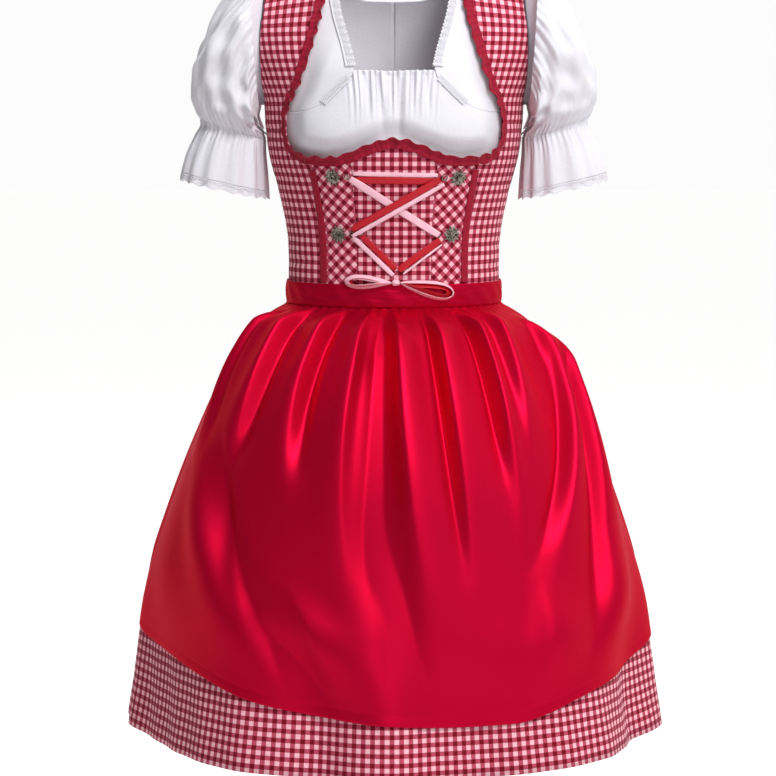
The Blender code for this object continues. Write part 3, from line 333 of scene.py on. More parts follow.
def between_edges(table, side, start_inset, end_inset, crest_gap):
    """Angles and rows of a panel between its two edges; side -1 is the mirrored panel."""
    row_a, angle_a, row_b, angle_b = edges(table)

    def places(u, v):
        across = u if side > 0 else 1 - u
        key = v * (len(table) - 1)
        start = angle_a(key) + start_inset
        angle = start + (angle_b(key) - end_inset - start) * across
        row = row_a(key) + (row_b(key) - row_a(key)) * across
        return side * angle, np.minimum(row, torso.crest_row(angle, crest_gap))

    return places


def under_sweetheart(start, end):
    """Angles and rows of a panel between two seams, from the waist to the sweetheart edge."""
    def places(u, v):
        angle = start + (end - start) * u
        foot = torso.row_at(BODICE_HEM)
        return angle, foot + (torso.row_at(sweetheart(np.abs(angle))) - foot) * v

    return places


def creases(x, z, table):
    """Soft troughs in cloth: middle x and z, direction, half length, half width, depth."""
    total = np.zeros(np.broadcast(x, z).shape)
    for middle_x, middle_z, turn, half_length, half_width, depth in table:
        cosine = math.cos(math.radians(turn))
        sine = math.sin(math.radians(turn))
        along = ((x - middle_x) * cosine + (z - middle_z) * sine) / half_length
        aside = ((z - middle_z) * cosine - (x - middle_x) * sine) / half_width
        total -= depth * np.exp(-aside ** 2) * np.clip(1 - along ** 2, 0.0, None) ** 2
    return total


def sew(name, columns, rows, lay, look, wall, closed=False, holes=None):
    """Make a piece of cloth from a grid: lay(u, v) gives its points and its grain in metres,
    and holes(u, v) says which faces are cut out of it."""
    deselect()
    bpy.ops.mesh.primitive_grid_add(x_subdivisions=columns, y_subdivisions=rows, size=1.0)
    piece = bpy.context.object
    piece.name = name
    mesh = piece.data
    flat = np.empty(3 * len(mesh.vertices))
    mesh.vertices.foreach_get("co", flat)
    u, v = flat.reshape(-1, 3)[:, :2].T + 0.5
    centres = np.empty(3 * len(mesh.polygons))
    mesh.polygons.foreach_get("center", centres)
    points, grain = lay(u, v)
    mesh.vertices.foreach_set("co", points.ravel())
    corners = np.empty(len(mesh.loops), int)
    mesh.loops.foreach_get("vertex_index", corners)
    mesh.uv_layers.active.name = "grain"
    mesh.uv_layers.active.data.foreach_set("uv", grain[corners].ravel())
    mesh.materials.append(look)
    bpy.ops.object.shade_smooth()
    if closed:
        bpy.ops.object.mode_set(mode="EDIT")
        bpy.ops.mesh.select_all(action="SELECT")
        bpy.ops.mesh.remove_doubles(threshold=1e-6)
        bpy.ops.object.mode_set(mode="OBJECT")
    if holes:
        bpy.ops.object.mode_set(mode="EDIT")
        bpy.ops.mesh.select_mode(type="FACE")
        bpy.ops.mesh.select_all(action="DESELECT")
        bpy.ops.object.mode_set(mode="OBJECT")
        mesh.polygons.foreach_set("select", holes(*(centres.reshape(-1, 3)[:, :2].T + 0.5)))
        bpy.ops.object.mode_set(mode="EDIT")
        bpy.ops.mesh.delete(type="FACE")
        bpy.ops.mesh.select_mode(type="VERT")
        bpy.ops.object.mode_set(mode="OBJECT")
    solid = piece.modifiers.new("wall", "SOLIDIFY")
    solid.thickness = wall
    solid.offset = -1.0
    bpy.ops.object.modifier_apply(modifier=solid.name)
    return piece


GINGHAM_REPEAT = 0.0104    # one dark and one light stripe
GINGHAM_LIGHT = "#F8BCC6"
GINGHAM_MIDDLE = "#BE4A62"
GINGHAM_DARK = "#78091F"
YARN = 0.0006              # drawn about twice as coarse as the real yarns, so that it shows


def compute(tree, operation, *values):
    """The result of one calculation on numbers or on the outputs of other nodes."""
    return add_node(tree, "ShaderNodeMath", {"operation": operation},
                    dict(enumerate(values))).outputs[0]


def mottling(tree, place, scale, detail, **more):
    """Uneven spots, smaller where the scale is larger."""
    return add_node(tree, "ShaderNodeTexNoise", {}, {
        "Vector": place, "Scale": scale, "Detail": detail, **more}).outputs["Fac"]


def yarn_lines(tree, cloth, spacing, across="X", **more):
    """Yarns or ribs this far apart in metres; at scale 1 the node has 20 in 2 pi metres."""
    return add_node(tree, "ShaderNodeTexWave", {"bands_direction": across}, {
        "Vector": cloth, "Scale": 2 * math.pi / 20 / spacing, **more}).outputs["Fac"]


def shade_colour(tree, shader, colour, texture, span, values):
    """Use this colour, darker and lighter as the texture goes through its span."""
    shade = add_node(tree, "ShaderNodeMapRange", {}, {
        "Value": texture, "From Min": span[0], "From Max": span[1], "To Min": values[0],
        "To Max": values[1]})
    varied = add_node(tree, "ShaderNodeHueSaturation", {}, {
        "Color": colour, "Value": shade.outputs["Result"]})
    tree.links.new(varied.outputs["Color"], shader.inputs["Base Color"])


def emboss(tree, shader, texture, strength, depth):
    """Let the texture stand up out of the surface."""
    bump = add_node(tree, "ShaderNodeBump", {}, {
        "Height": texture, "Strength": strength, "Distance": depth})
    tree.links.new(bump.outputs["Normal"], shader.inputs["Normal"])


def cotton_gingham(name, turn):
    """Yarn-dyed plain-woven cotton: dark, mixed and pale squares, matt, with a fine grain."""
    made, tree, shader = new_material(name, {"Roughness": 0.88, "Sheen Weight": 0.04,
                                             "Specular IOR Level": 0.15})
    cloth = add_node(tree, "ShaderNodeTexCoord").outputs["UV"]
    turned = add_node(tree, "ShaderNodeMapping", {}, {
        "Vector": cloth, "Rotation": (0, 0, math.radians(turn)),
        "Scale": (1 / GINGHAM_REPEAT, 1 / GINGHAM_REPEAT, 1)}).outputs["Vector"]
    split = add_node(tree, "ShaderNodeSeparateXYZ", {}, {"Vector": turned})
    stripes = [compute(tree, "GREATER_THAN", compute(tree, "FRACT", split.outputs[axis]), 0.5)
               for axis in "XY"]
    half = compute(tree, "MULTIPLY", compute(tree, "ADD", *stripes), 0.5)
    ramp = add_node(tree, "ShaderNodeValToRGB", {}, {"Fac": half})
    ramp.color_ramp.interpolation = "CONSTANT"
    ramp.color_ramp.elements[0].color = linear(GINGHAM_LIGHT)
    ramp.color_ramp.elements[1].color = linear(GINGHAM_DARK)
    ramp.color_ramp.elements[1].position = 0.75
    ramp.color_ramp.elements.new(0.25).color = linear(GINGHAM_MIDDLE)
    slub = mottling(tree, cloth, 260.0, 3.0, Roughness=0.6)
    shade_colour(tree, shader, ramp.outputs["Color"], slub, (0.3, 0.7), (0.90, 1.06))
    yarns = [yarn_lines(tree, cloth, YARN, axis, Distortion=0.6) for axis in "XY"]
    emboss(tree, shader, compute(tree, "MULTIPLY", *yarns), 0.25, 0.0003)
    return made


straight_gingham = cotton_gingham("cotton_gingham_straight_grain", 0)
bias_gingham = cotton_gingham("cotton_gingham_bias", 45)
BODICE_WALL = 0.0010
SEAM_PRESS = 0.0005        # how deep and, in degrees, how wide the seams are pressed in
SEAM_PRESS_WIDTH = 1.6
# creases of the bodice's front, as seen from the front
FRONT_CREASES = (
    (0.118, -0.372, -8, 0.035, 0.004, 0.0012), (-0.115, -0.366, 10, 0.038, 0.004, 0.0013),
    (0.120, -0.345, -14, 0.030, 0.005, 0.0010), (-0.121, -0.338, 12, 0.032, 0.005, 0.0011),
    (0.136, -0.280, -28, 0.030, 0.006, 0.0010), (-0.136, -0.272, 30, 0.034, 0.006, 0.0011),
    (0.142, -0.205, -38, 0.026, 0.005, 0.0013), (-0.143, -0.212, 36, 0.028, 0.005, 0.0013),
    (0.060, -0.384, -4, 0.040, 0.003, 0.0007), (-0.052, -0.381, 5, 0.036, 0.003, 0.0007),
    (0.012, -0.352, 3, 0.030, 0.004, 0.0006), (-0.090, -0.300, 70, 0.040, 0.006, 0.0007),
    (0.092, -0.312, -72, 0.040, 0.006, 0.0007),
)
# creases of the back, with x as above
BACK_CREASES = (
    (0.040, -0.360, 6, 0.060, 0.005, 0.0013), (-0.050, -0.345, -8, 0.055, 0.006, 0.0012),
    (0.075, -0.320, 14, 0.050, 0.006, 0.0010), (-0.082, -0.300, -16, 0.052, 0.006, 0.0010),
    (0.100, -0.170, 42, 0.050, 0.007, 0.0012), (-0.104, -0.180, -40, 0.052, 0.007, 0.0012),
    (0.030, -0.130, 78, 0.060, 0.006, 0.0007), (-0.034, -0.120, -76, 0.055, 0.006, 0.0007),
)


def lay_bodice(places, middle, table, low, high):
    """Lay a bodice panel, with creases and with its two long seams pressed in a little."""
    def lay(u, v):
        angle, row = places(u, v)
        at = torso.point(angle, row)
        pressed = SEAM_PRESS * (np.exp(-(u * (high - low) / SEAM_PRESS_WIDTH) ** 2)
                                + np.exp(-((1 - u) * (high - low) / SEAM_PRESS_WIDTH) ** 2))
        out = creases(at[:, 0], at[:, 2], table) - pressed
        return torso.outside(angle, row, out), torso.grain(angle, row, middle)

    return lay


def cover(piece, node):
    """The piece stands for this node and moves with the part."""
    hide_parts(node)
    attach(piece, "root")


centre_front = sew("centre_front_panel", 48, 80, lay_bodice(
    under_sweetheart(-CENTRE_SEAM_ANGLE + FRONT_SEAM, CENTRE_SEAM_ANGLE - FRONT_SEAM),
    0.0, FRONT_CREASES, -20, 20), straight_gingham, BODICE_WALL)
cover(centre_front, "bodice_centre_front")
for side_name, side in SIDES:
    inner, outer = sorted((side * (CENTRE_SEAM_ANGLE + FRONT_SEAM),
                           side * (PRINCESS_ANGLE - FRONT_SEAM)))
    hook_panel = sew(f"hook_panel_{side_name}", 26, 76, lay_bodice(
        under_sweetheart(inner, outer), 0.5 * (inner + outer), FRONT_CREASES, inner, outer),
        bias_gingham, BODICE_WALL)
    cover(hook_panel, f"bodice_hook_panel_{side_name}")
    side_front = sew(f"side_front_{side_name}", 60, 160, lay_bodice(
        between_edges(SIDE_FRONT, side, FRONT_SEAM, SIDE_SEAM, CREST_GAP),
        side * 60.0, FRONT_CREASES, 41, 90), straight_gingham, BODICE_WALL)
    cover(side_front, f"bodice_side_front_{side_name}")
    back = sew(f"back_{side_name}", 64, 150, lay_bodice(
        between_edges(SIDE_BACK, side, SIDE_SEAM, BACK_SEAM, CREST_GAP),
        side * 140.0, BACK_CREASES, 90, 180), straight_gingham, BODICE_WALL)
    cover(back, f"bodice_back_{side_name}")


# The neck ruffle: a woven dark red braid, gathered along its middle and sewn over the
# whole neck edge of the bodice, half on the gingham and half standing free.
class EdgeLoop:
    """A closed cloth edge on the torso, read by the share of its length."""

    def __init__(self, angles, rows):
        self.points = torso.point(angles, rows)
        self.normals = torso.outside(angles, rows, 1.0) - self.points
        self.points = np.concatenate([self.points, self.points[:1]])
        self.normals = np.concatenate([self.normals, self.normals[:1]])
        steps = np.linalg.norm(np.diff(self.points, axis=0), axis=-1)
        self.lengths = np.concatenate([[0.0], np.cumsum(steps)])
        self.total = self.lengths[-1]

    def read(self, values, length):
        return np.stack([np.interp(length, self.lengths, column) for column in values.T], -1)

    def frame(self, fraction):
        """Place, direction out of the cloth, and direction into the opening."""
        length = fraction % 1.0 * self.total
        ahead = self.read(self.points, (length + 0.004) % self.total)
        behind = self.read(self.points, (length - 0.004) % self.total)
        outward = self.read(self.normals, length)
        outward /= np.linalg.norm(outward, axis=-1, keepdims=True)
        inward = np.cross(outward, ahead - behind)
        inward /= np.linalg.norm(inward, axis=-1, keepdims=True)
        return self.read(self.points, length), outward, inward


def neck_loop():
    front = np.linspace(0.0, PRINCESS_ANGLE, 9)[:-1]
    row_a, angle_a, _, _ = edges(SIDE_FRONT)
    up = np.linspace(NECK_START, len(SIDE_FRONT) - 1, 46)
    _, _, row_b, angle_b = edges(SIDE_BACK)
    down = np.linspace(len(SIDE_BACK) - 1, BACK_NECK_START, 24)[1:]
    angles = np.concatenate([front, angle_a(up), angle_b(down)])
    rows = np.concatenate([torso.row_at(sweetheart(front)), row_a(up), row_b(down)])
    return EdgeLoop(np.concatenate([angles, -angles[-2:0:-1]]),
                    np.concatenate([rows, rows[-2:0:-1]]))


neck_edge = neck_loop()
RUFFLE_WAVES = 62
RUFFLE_ON_BODICE = 0.0060
RUFFLE_IN_OPENING = 0.0062
RUFFLE_WALL = 0.0006
BRAID_RIB = 0.0011
BRAID_RED = "#960F2B"


def woven_braid(name, colour):
    """Dull cotton and viscose braid: fine ribs across it, painted paler on their crests and darker
    between them as painted highlight and painted shade, over uneven tone.
    """
    made, tree, shader = new_material(name, {"Roughness": 0.75, "Sheen Weight": 0.05,
                                             "Specular IOR Level": 0.2})
    cloth = add_node(tree, "ShaderNodeTexCoord").outputs["UV"]
    ribs = yarn_lines(tree, cloth, BRAID_RIB, Distortion=0.8, Detail=1.0)
    mixed = compute(tree, "MULTIPLY_ADD", ribs, 0.5, mottling(tree, cloth, 180.0, 3.0))
    # painted highlight on the ribs' crests and painted shade between them, mixed with random
    # mottling
    shade_colour(tree, shader, linear(colour), mixed, (0.3, 1.1), (0.72, 1.22))
    emboss(tree, shader, mixed, 0.5, 0.0004)
    return made


red_braid = woven_braid("viscose_braid_dark_red", BRAID_RED)


def lay_ruffle(u, v):
    point, outward, inward = neck_edge.frame(u)
    turn = 2 * np.pi * u
    # the gathers are uneven: their phase and height wander along the edge
    phase = RUFFLE_WAVES * turn + 0.9 * np.sin(7 * turn) + 0.6 * np.sin(17 * turn + 1)
    height = 1.0 + 0.35 * np.sin(11 * turn + 0.7) + 0.2 * np.sin(29 * turn)
    wave = np.sin(phase)
    stitched = np.exp(-((v - 0.5) / 0.10) ** 2)
    edge = np.abs(2 * v - 1) ** 1.5
    reach = -RUFFLE_ON_BODICE + (RUFFLE_ON_BODICE + RUFFLE_IN_OPENING) * v
    reach = reach + 0.0011 * height * np.cos(phase + 0.5) * (2 * v - 1) * np.where(v > 0.5, 1, 0.6)
    lift = 0.0014 + 0.0021 * v ** 2
    lift = lift + 0.0013 * height * (1 + wave) * (0.18 + 0.82 * edge) * np.where(v > 0.5, 1, 0.6)
    lift = lift + 0.0004 * np.cos(2.6 * phase) * (1 - stitched) - 0.0005 * stitched
    points = point + inward * reach[:, None] + outward * lift[:, None]
    return points, np.stack([1.5 * u * neck_edge.total, 0.012 * v], axis=-1)


ruffle = sew("neck_ruffle_braid", 16 * RUFFLE_WAVES, 10, lay_ruffle, red_braid, RUFFLE_WALL,
             closed=True)
cover(ruffle, "neck_ruffle")


# The two princess bands: the same braid laid flat over the long seams of the front, from
# the waist to the neck ruffle, and stitched along both edges.
BAND_WIDTH = 0.0095
BAND_LENGTH = 0.135
BAND_FOOT = BODICE_HEM + 0.0045
BAND_HEAD = -0.2560
for side_name, side in SIDES:
    def lay_princess_band(u, v, side=side):
        foot = torso.row_at(BAND_FOOT)
        row = foot + (torso.row_at(BAND_HEAD) - foot) * v
        radius = np.hypot(torso.half(row) * math.cos(math.radians(PRINCESS_ANGLE)),
                          torso.front(row) * math.sin(math.radians(PRINCESS_ANGLE)))
        angle = side * PRINCESS_ANGLE + np.degrees(BAND_WIDTH / radius) * (u - 0.5)
        rounded = 1 - np.abs(2 * u - 1) ** 4
        ripple = 0.0002 * np.sin(900 * v * BAND_LENGTH) * rounded
        out = 0.0008 + 0.0006 * rounded + ripple
        grain = np.stack([BAND_LENGTH * v, BAND_WIDTH * u], axis=-1)
        return torso.outside(angle, row, out), grain

    princess = sew(f"princess_braid_{side_name}", 10, 110, lay_princess_band, red_braid, 0.0006)
    cover(princess, f"princess_band_{side_name}")


# The four rosettes: cast alloy flowers in old silver with two rings of pointed petals and
# a beaded heart. Each has a wire eyelet beside it, through which the lacing runs.
def old_silver():
    """Cast zinc alloy with a dark patina that is rubbed off in spots."""
    made, tree, shader = new_material("antiqued_cast_alloy", {"Metallic": 1.0, "Roughness": 0.42})
    place = add_node(tree, "ShaderNodeTexCoord").outputs["Object"]
    worn = mottling(tree, place, 420.0, 4.0, Roughness=0.7)
    ramp = add_node(tree, "ShaderNodeValToRGB", {}, {"Fac": worn})
    ramp.color_ramp.elements[0].position = 0.40
    ramp.color_ramp.elements[0].color = linear("#2A2622")
    ramp.color_ramp.elements[1].position = 0.66
    ramp.color_ramp.elements[1].color = linear("#CFC8B8")
    tree.links.new(ramp.outputs["Color"], shader.inputs["Base Color"])
    emboss(tree, shader, worn, 0.4, 0.0003)
    return made


rosette_metal = old_silver()
ROSETTE_RADIUS = 0.0112
PETALS = 10
PETAL_START = 0.0020       # from the middle of the flower
PETAL_HALF_THICKNESS = 0.00055
PETAL_HOLLOW = 0.0006
PETAL_RISE = 0.0010
HEART_BEADS = 7            # one in the middle and the others in a ring round it
HEART_BEAD_RADIUS = 0.0010
HEART_RING = 0.0019
EYELET_RADIUS = 0.0030
EYELET_WIRE = 0.0006
# name, x, height
ROSETTES = (
    ("upper_right", -0.0700, -0.2640),
    ("lower_right", -0.0640, -0.3310),
    ("upper_left", 0.0735, -0.2650),
    ("lower_left", 0.0665, -0.3310),
)


def shape_points(piece, change):
    """Move every point of a piece by a function of its points."""
    flat = np.empty(3 * len(piece.data.vertices))
    piece.data.vertices.foreach_get("co", flat)
    piece.data.vertices.foreach_set("co", change(flat.reshape(-1, 3)).ravel())
    piece.data.update()


def add_ball(segments, rings, radius=1.0, place=(0, 0, 0)):
    deselect()
    bpy.ops.mesh.primitive_uv_sphere_add(segments=segments, ring_count=rings, radius=radius,
                                         location=place)
    return bpy.context.object


def petal(length, width, turn, lift):
    """One leaf-shaped petal with a long hollow between its raised rims."""
    leaf = add_ball(14, 9)

    def change(points):
        along = 0.5 * (points[:, 0] + 1)
        points[:, 1] *= width * (0.45 + 0.9 * along * (1.15 - along)) * 0.5
        points[:, 2] = points[:, 2] * PETAL_HALF_THICKNESS - PETAL_HOLLOW * np.exp(
            -(points[:, 1] / (0.22 * width)) ** 2) * np.sin(np.pi * along)
        points[:, 2] += lift + PETAL_RISE * along
        points[:, 0] = PETAL_START + length * along
        return points @ np.array(Matrix.Rotation(-turn, 3, "Z"))

    shape_points(leaf, change)
    return leaf


def joined(pieces, name):
    deselect()
    for piece in pieces:
        piece.select_set(True)
    bpy.context.view_layer.objects.active = pieces[0]
    bpy.ops.object.join()
    bpy.ops.object.shade_smooth()
    pieces[0].name = name
    return pieces[0]


def put_on_front(piece, x, height, out):
    """Turn a flat-lying piece to face out of the bodice at a width and height."""
    row = torso.row_at(height)
    angle = np.degrees(np.arcsin(x / torso.half(row)))
    place = torso.outside(angle, row, out)
    facing = Vector(torso.outside(angle, row, 1.0) - torso.point(angle, row))
    turn = np.array(facing.to_track_quat("Z", "Y").to_matrix())
    shape_points(piece, lambda points: points @ turn.T + place)


for name, x, height in ROSETTES:
    leaves = []
    for i in range(PETALS):
        turn = 2 * math.pi * i / PETALS
        leaves.append(petal(ROSETTE_RADIUS - PETAL_START, 0.0034, turn, 0.0004))
        leaves.append(petal(0.60 * ROSETTE_RADIUS, 0.0026, turn + math.pi / PETALS, 0.0011))
    for i in range(HEART_BEADS):
        turn = 2 * math.pi * i / (HEART_BEADS - 1)
        ring = 0.0 if i == HEART_BEADS - 1 else HEART_RING
        leaves.append(add_ball(12, 8, HEART_BEAD_RADIUS,
                               (ring * math.cos(turn), ring * math.sin(turn), 0.0022)))
        bpy.ops.object.transform_apply()
    rosette = joined(leaves, f"rosette_flower_{name}")
    put_on_front(rosette, x, height, 0.0006)
    rosette.data.materials.append(rosette_metal)
    cover(rosette, f"rosette_{name}")

    deselect()
    bpy.ops.mesh.primitive_torus_add(major_radius=EYELET_RADIUS, minor_radius=EYELET_WIRE,
                                     major_segments=28, minor_segments=10)
    eyelet = bpy.context.object
    eyelet.name = f"eyelet_wire_{name}"
    bpy.ops.object.shade_smooth()
    towards_middle = -1 if x > 0 else 1
    put_on_front(eyelet, x + towards_middle * (ROSETTE_RADIUS + EYELET_RADIUS + 0.0016), height,
                 0.0012)
    eyelet.data.materials.append(rosette_metal)
    cover(eyelet, f"eyelet_{name}")


# The lacing: two narrow satin ribbons, one pale pink and one red, laced as a pair over the
# centre panel between the eyelets and tied in a flat bow above the waistband.
RIBBON_YARN = 0.0007


def satin_ribbon(name, colour, roughness):
    """Polyester satin ribbon: smooth, with a soft gloss, and faint ribs across it."""
    made, tree, shader = new_material(name, {
        "Base Color": linear(colour), "Roughness": roughness, "Specular IOR Level": 0.35,
        "Anisotropic": 0.4})
    cloth = add_node(tree, "ShaderNodeTexCoord").outputs["UV"]
    soft = mottling(tree, cloth, 90.0, 2.0)
    shade_colour(tree, shader, linear(colour), soft, (0.3, 0.7), (0.93, 1.05))
    emboss(tree, shader, yarn_lines(tree, cloth, RIBBON_YARN), 0.12, 0.0002)
    return made


RIBBONS = {"pale": (satin_ribbon("polyester_ribbon_pale_pink", "#FBC3D2", 0.45), "pale_ribbon"),
           "red": (satin_ribbon("polyester_ribbon_red", "#BE0C20", 0.42), "red_ribbon")}
RIBBON_WALL = 0.0005
# name, colour, start x and height, end x and height, width, layer
STRANDS = (
    ("pale_top", "pale", -0.0470, -0.2600, 0.0500, -0.2620, 0.0052, 0),
    ("red_top", "red", -0.0450, -0.2672, 0.0480, -0.2690, 0.0080, 0),
    ("pale_falling", "pale", -0.0500, -0.2655, 0.0515, -0.3317, 0.0085, 1),
    ("red_rising", "red", -0.0480, -0.3245, 0.0520, -0.2660, 0.0080, 2),
    ("pale_rising", "pale", -0.0475, -0.3325, 0.0565, -0.2715, 0.0050, 2),
    ("pale_lower_right", "pale", -0.0470, -0.3335, -0.0010, -0.3780, 0.0055, 1),
    ("red_lower_right", "red", -0.0370, -0.3325, 0.0020, -0.3712, 0.0070, 1),
    ("red_lower_left", "red", 0.0520, -0.3370, 0.0050, -0.3720, 0.0080, 2),
    ("pale_lower_left", "pale", 0.0541, -0.3425, 0.0106, -0.3762, 0.0025, 2),
)
FIRST_LAYER = 0.0016
LAYER_STEP = 0.0014


def on_front(x, height, out):
    """Points on the torso's front at widths and heights, moved outwards."""
    row = torso.row_at(np.maximum(height, TORSO[0][0]))
    return torso.outside(np.degrees(np.arcsin(x / torso.half(row))), row, out)


def beside_line(x0, z0, x1, z1, u, aside):
    """Widths and heights of places beside a straight line, and the line's length."""
    length = math.hypot(x1 - x0, z1 - z0)
    up = np.array((-(z1 - z0), x1 - x0)) / length
    return x0 + (x1 - x0) * u + up[0] * aside, z0 + (z1 - z0) * u + up[1] * aside, length


for name, colour, x0, z0, x1, z1, width, layer in STRANDS:
    def lay_strand(u, v):
        narrow = 1 - 0.18 * np.exp(-(u / 0.08) ** 2) - 0.18 * np.exp(-((1 - u) / 0.08) ** 2)
        x, z, length = beside_line(x0, z0, x1, z1, u, width * narrow * (v - 0.5))
        curl = 0.00035 * (2 * v - 1) ** 2 + 0.0002 * np.sin(9 * u + layer) * (2 * v - 1)
        points = on_front(x, z, FIRST_LAYER - 0.0003 + layer * LAYER_STEP - curl)
        return points, np.stack([length * u, width * v], axis=-1)

    look, slot_name = RIBBONS[colour]
    strand = sew(f"lacing_{name}", 60, 8, lay_strand, look, RIBBON_WALL)
    cover(strand, f"ribbon_{name}")

# name, reach in x, height of the far end, opening, colour, share of the full loop, and how
# far the ribbon's front edge leans out of the loop or, below 0, into it
BOW_LOOPS = (
    ("pale_right", -0.0560, -0.3855, 0.0230, "pale", 1.0, -0.0055),
    ("red_right", -0.0560, -0.3855, 0.0180, "red", 0.62, 0.0010),
    ("pale_left", 0.0680, -0.4010, 0.0290, "pale", 1.0, -0.0030),
    ("red_left", 0.0680, -0.4010, 0.0270, "red", 0.84, -0.0060),
)
BOW_X = 0.0020
BOW_HEIGHT = -0.3865
BOW_DEPTH = 0.0060
BOW_OUT = 0.0034
BOW_CENTRE = 0.62
for name, reach, far_height, opening, colour, share, lean in BOW_LOOPS:
    def lay_bow_loop(u, v):
        side = 1 if reach > 0 else -1
        start = np.array((BOW_X + side * 0.0050, BOW_HEIGHT))
        run = np.array((reach, far_height)) - start
        length = np.linalg.norm(run)
        run /= length
        up = np.array((-run[1], run[0])) * side
        turn = 2 * np.pi * (u if side > 0 else 1 - u)
        along = 0.5 * (1 - np.cos(turn))
        lift = -0.5 * opening * np.sin(turn) * (0.35 + 0.65 * along) * share
        along = BOW_CENTRE + (along - BOW_CENTRE) * share
        leaning = lift - lean * v * np.sin(turn)
        ahead = along * length - 0.5 * lean * v * np.cos(turn) * (1 - np.cos(turn))
        x = start[0] + run[0] * ahead + up[0] * leaning
        z = start[1] + run[1] * ahead + up[1] * leaning
        depth = BOW_DEPTH * (0.5 + (v - 0.5) * (1 - 0.35 * np.cos(turn) ** 8))
        points = on_front(x, z, BOW_OUT + depth)
        return points, np.stack([2.1 * length * share * u, BOW_DEPTH * v], axis=-1)

    look, slot_name = RIBBONS[colour]
    loop = sew(f"bow_ribbon_{name}", 120, 8, lay_bow_loop, look, RIBBON_WALL, closed=True)
    cover(loop, f"bow_loop_{name}")


def signed_power(value, power):
    return np.sign(value) * np.abs(value) ** power


def add_knot(name, segments, rings, change):
    """A knot of cloth, shaped out of a ball."""
    piece = add_ball(segments, rings)
    piece.name = name
    bpy.ops.object.shade_smooth()
    shape_points(piece, change)
    return piece


def pinch_knot(points):
    """A rounded knot with the soft ribs of a ribbon pulled tight across it."""
    ribs = 1 + 0.07 * np.cos(7 * np.arctan2(points[:, 1], points[:, 2]) + 3 * points[:, 0])
    return signed_power(points, 0.8) * np.array((0.0047, 0.0033, 0.0043)) * ribs[:, None]


bow_knot = add_knot("bow_ribbon_knot", 32, 20, pinch_knot)
put_on_front(bow_knot, BOW_X, BOW_HEIGHT, 0.0051)
bow_knot.data.materials.append(RIBBONS["pale"][0])
cover(bow_knot, "bow_knot")


# The skirt: two widths of the same gingham, plain in front and gathered at the back, sewn
# together at the sides and hemmed all round. It hangs in broad soft folds.
# height, half width, depth in front, depth behind, from the hem to the waist
SKIRT = (
    (-0.920, 0.3150, 0.3050, 0.3110),
    (-0.870, 0.3070, 0.2970, 0.3020),
    (-0.820, 0.3015, 0.2890, 0.2950),
    (-0.770, 0.2960, 0.2790, 0.2860),
    (-0.720, 0.2850, 0.2670, 0.2740),
    (-0.670, 0.2695, 0.2520, 0.2590),
    (-0.620, 0.2520, 0.2360, 0.2430),
    (-0.570, 0.2320, 0.2150, 0.2230),
    (-0.520, 0.2095, 0.1900, 0.1990),
    (-0.480, 0.1880, 0.1640, 0.1760),
    (-0.455, 0.1710, 0.1410, 0.1550),
    (-0.437, 0.1530, 0.1200, 0.1340),
    (-0.428, 0.1395, 0.1060, 0.1150),
    (-0.4205, 0.1265, 0.0905, 0.0900),
    (-0.4165, 0.1236, 0.0878, 0.0829),
    (-0.394, 0.1235, 0.0877, 0.0828),
)
skirt_form = Form(SKIRT)
SKIRT_TOP = -0.3945
SKIRT_WALL = 0.0009
SKIRT_SEAM = 0.01          # half gap of the side seams, in degrees
HEM_DEPTH = 0.045
HEM_RADIUS = 0.31          # turns angles into metres across the cloth


def fine_gathers(angle, height, count, depth, foot):
    """Small uneven gathers that start at the waist and run out at a height."""
    turn = np.radians(angle)
    wander = 0.8 * np.sin(5 * turn + 1) + 0.5 * np.sin(13 * turn)
    size = 1 + 0.4 * np.sin(9 * turn + 2) + 0.25 * np.sin(23 * turn)
    return depth * size * np.cos(count * turn + wander) * ease(foot, -0.425, height)


def back_wave(angle, height):
    turn = np.radians(angle)
    folds = np.cos(24 * turn + 0.9 * np.sin(3 * turn))
    gathers = 0.0011 * np.cos(48 * turn) * ease(-0.60, -0.43, height)
    return gathers + 0.0120 * folds * ease(-0.44, -0.92, height) ** 0.8 \
        + fine_gathers(angle, height, 92, 0.0009, -0.58)


def front_wave(angle, height):
    turn = np.radians(angle)
    folds = np.cos(9 * turn + 1.1 * np.sin(4 * turn + 0.6))
    return 0.0115 * folds * ease(-0.62, -0.92, height)


def skirt_wave(angle, height):
    """Front and back waves, blended over the side seams."""
    to_back = ease(78.0, 100.0, np.abs((angle + 180) % 360 - 180))
    return (1 - to_back) * front_wave(angle, height) + to_back * back_wave(angle, height)


skirt_lengths = np.concatenate([[0.0], np.cumsum(np.hypot(
    np.diff(skirt_form.height(skirt_form.samples)),
    np.diff(skirt_form.front(skirt_form.samples))))])


def skirt_grain(angle, row):
    """Metres across the skirt's cloth at its hem and along it."""
    length = np.interp(row, skirt_form.samples, skirt_lengths)
    return np.stack([np.radians(angle) * HEM_RADIUS, length], axis=-1)


def lay_skirt(start, end):
    """Lay half the skirt between its side seams, with its turned hem and stitch line."""
    def lay(u, v):
        angle = start + SKIRT_SEAM + (end - start - 2 * SKIRT_SEAM) * u
        row = v ** 0.85 * skirt_form.row_at(SKIRT_TOP)
        height = skirt_form.height(row)
        turn = np.radians(angle)
        up = height - SKIRT[0][0]
        stitches = -0.0007 * np.exp(-((up - HEM_DEPTH) / 0.0018) ** 2)
        soft = 0.0012 * np.sin(31 * turn + 9 * up / 0.5) * ease(-0.70, -0.92, height)
        out = skirt_wave(angle, height) + stitches + soft
        return skirt_form.outside(angle, row, out), skirt_grain(angle, row)

    return lay


skirt_front = sew("skirt_front_width", 280, 120, lay_skirt(-90.0, 90.0), straight_gingham,
                  SKIRT_WALL)
cover(skirt_front, "skirt_front")
skirt_back = sew("skirt_back_width", 520, 130, lay_skirt(90.0, 270.0), straight_gingham,
                 SKIRT_WALL)
cover(skirt_back, "skirt_back")


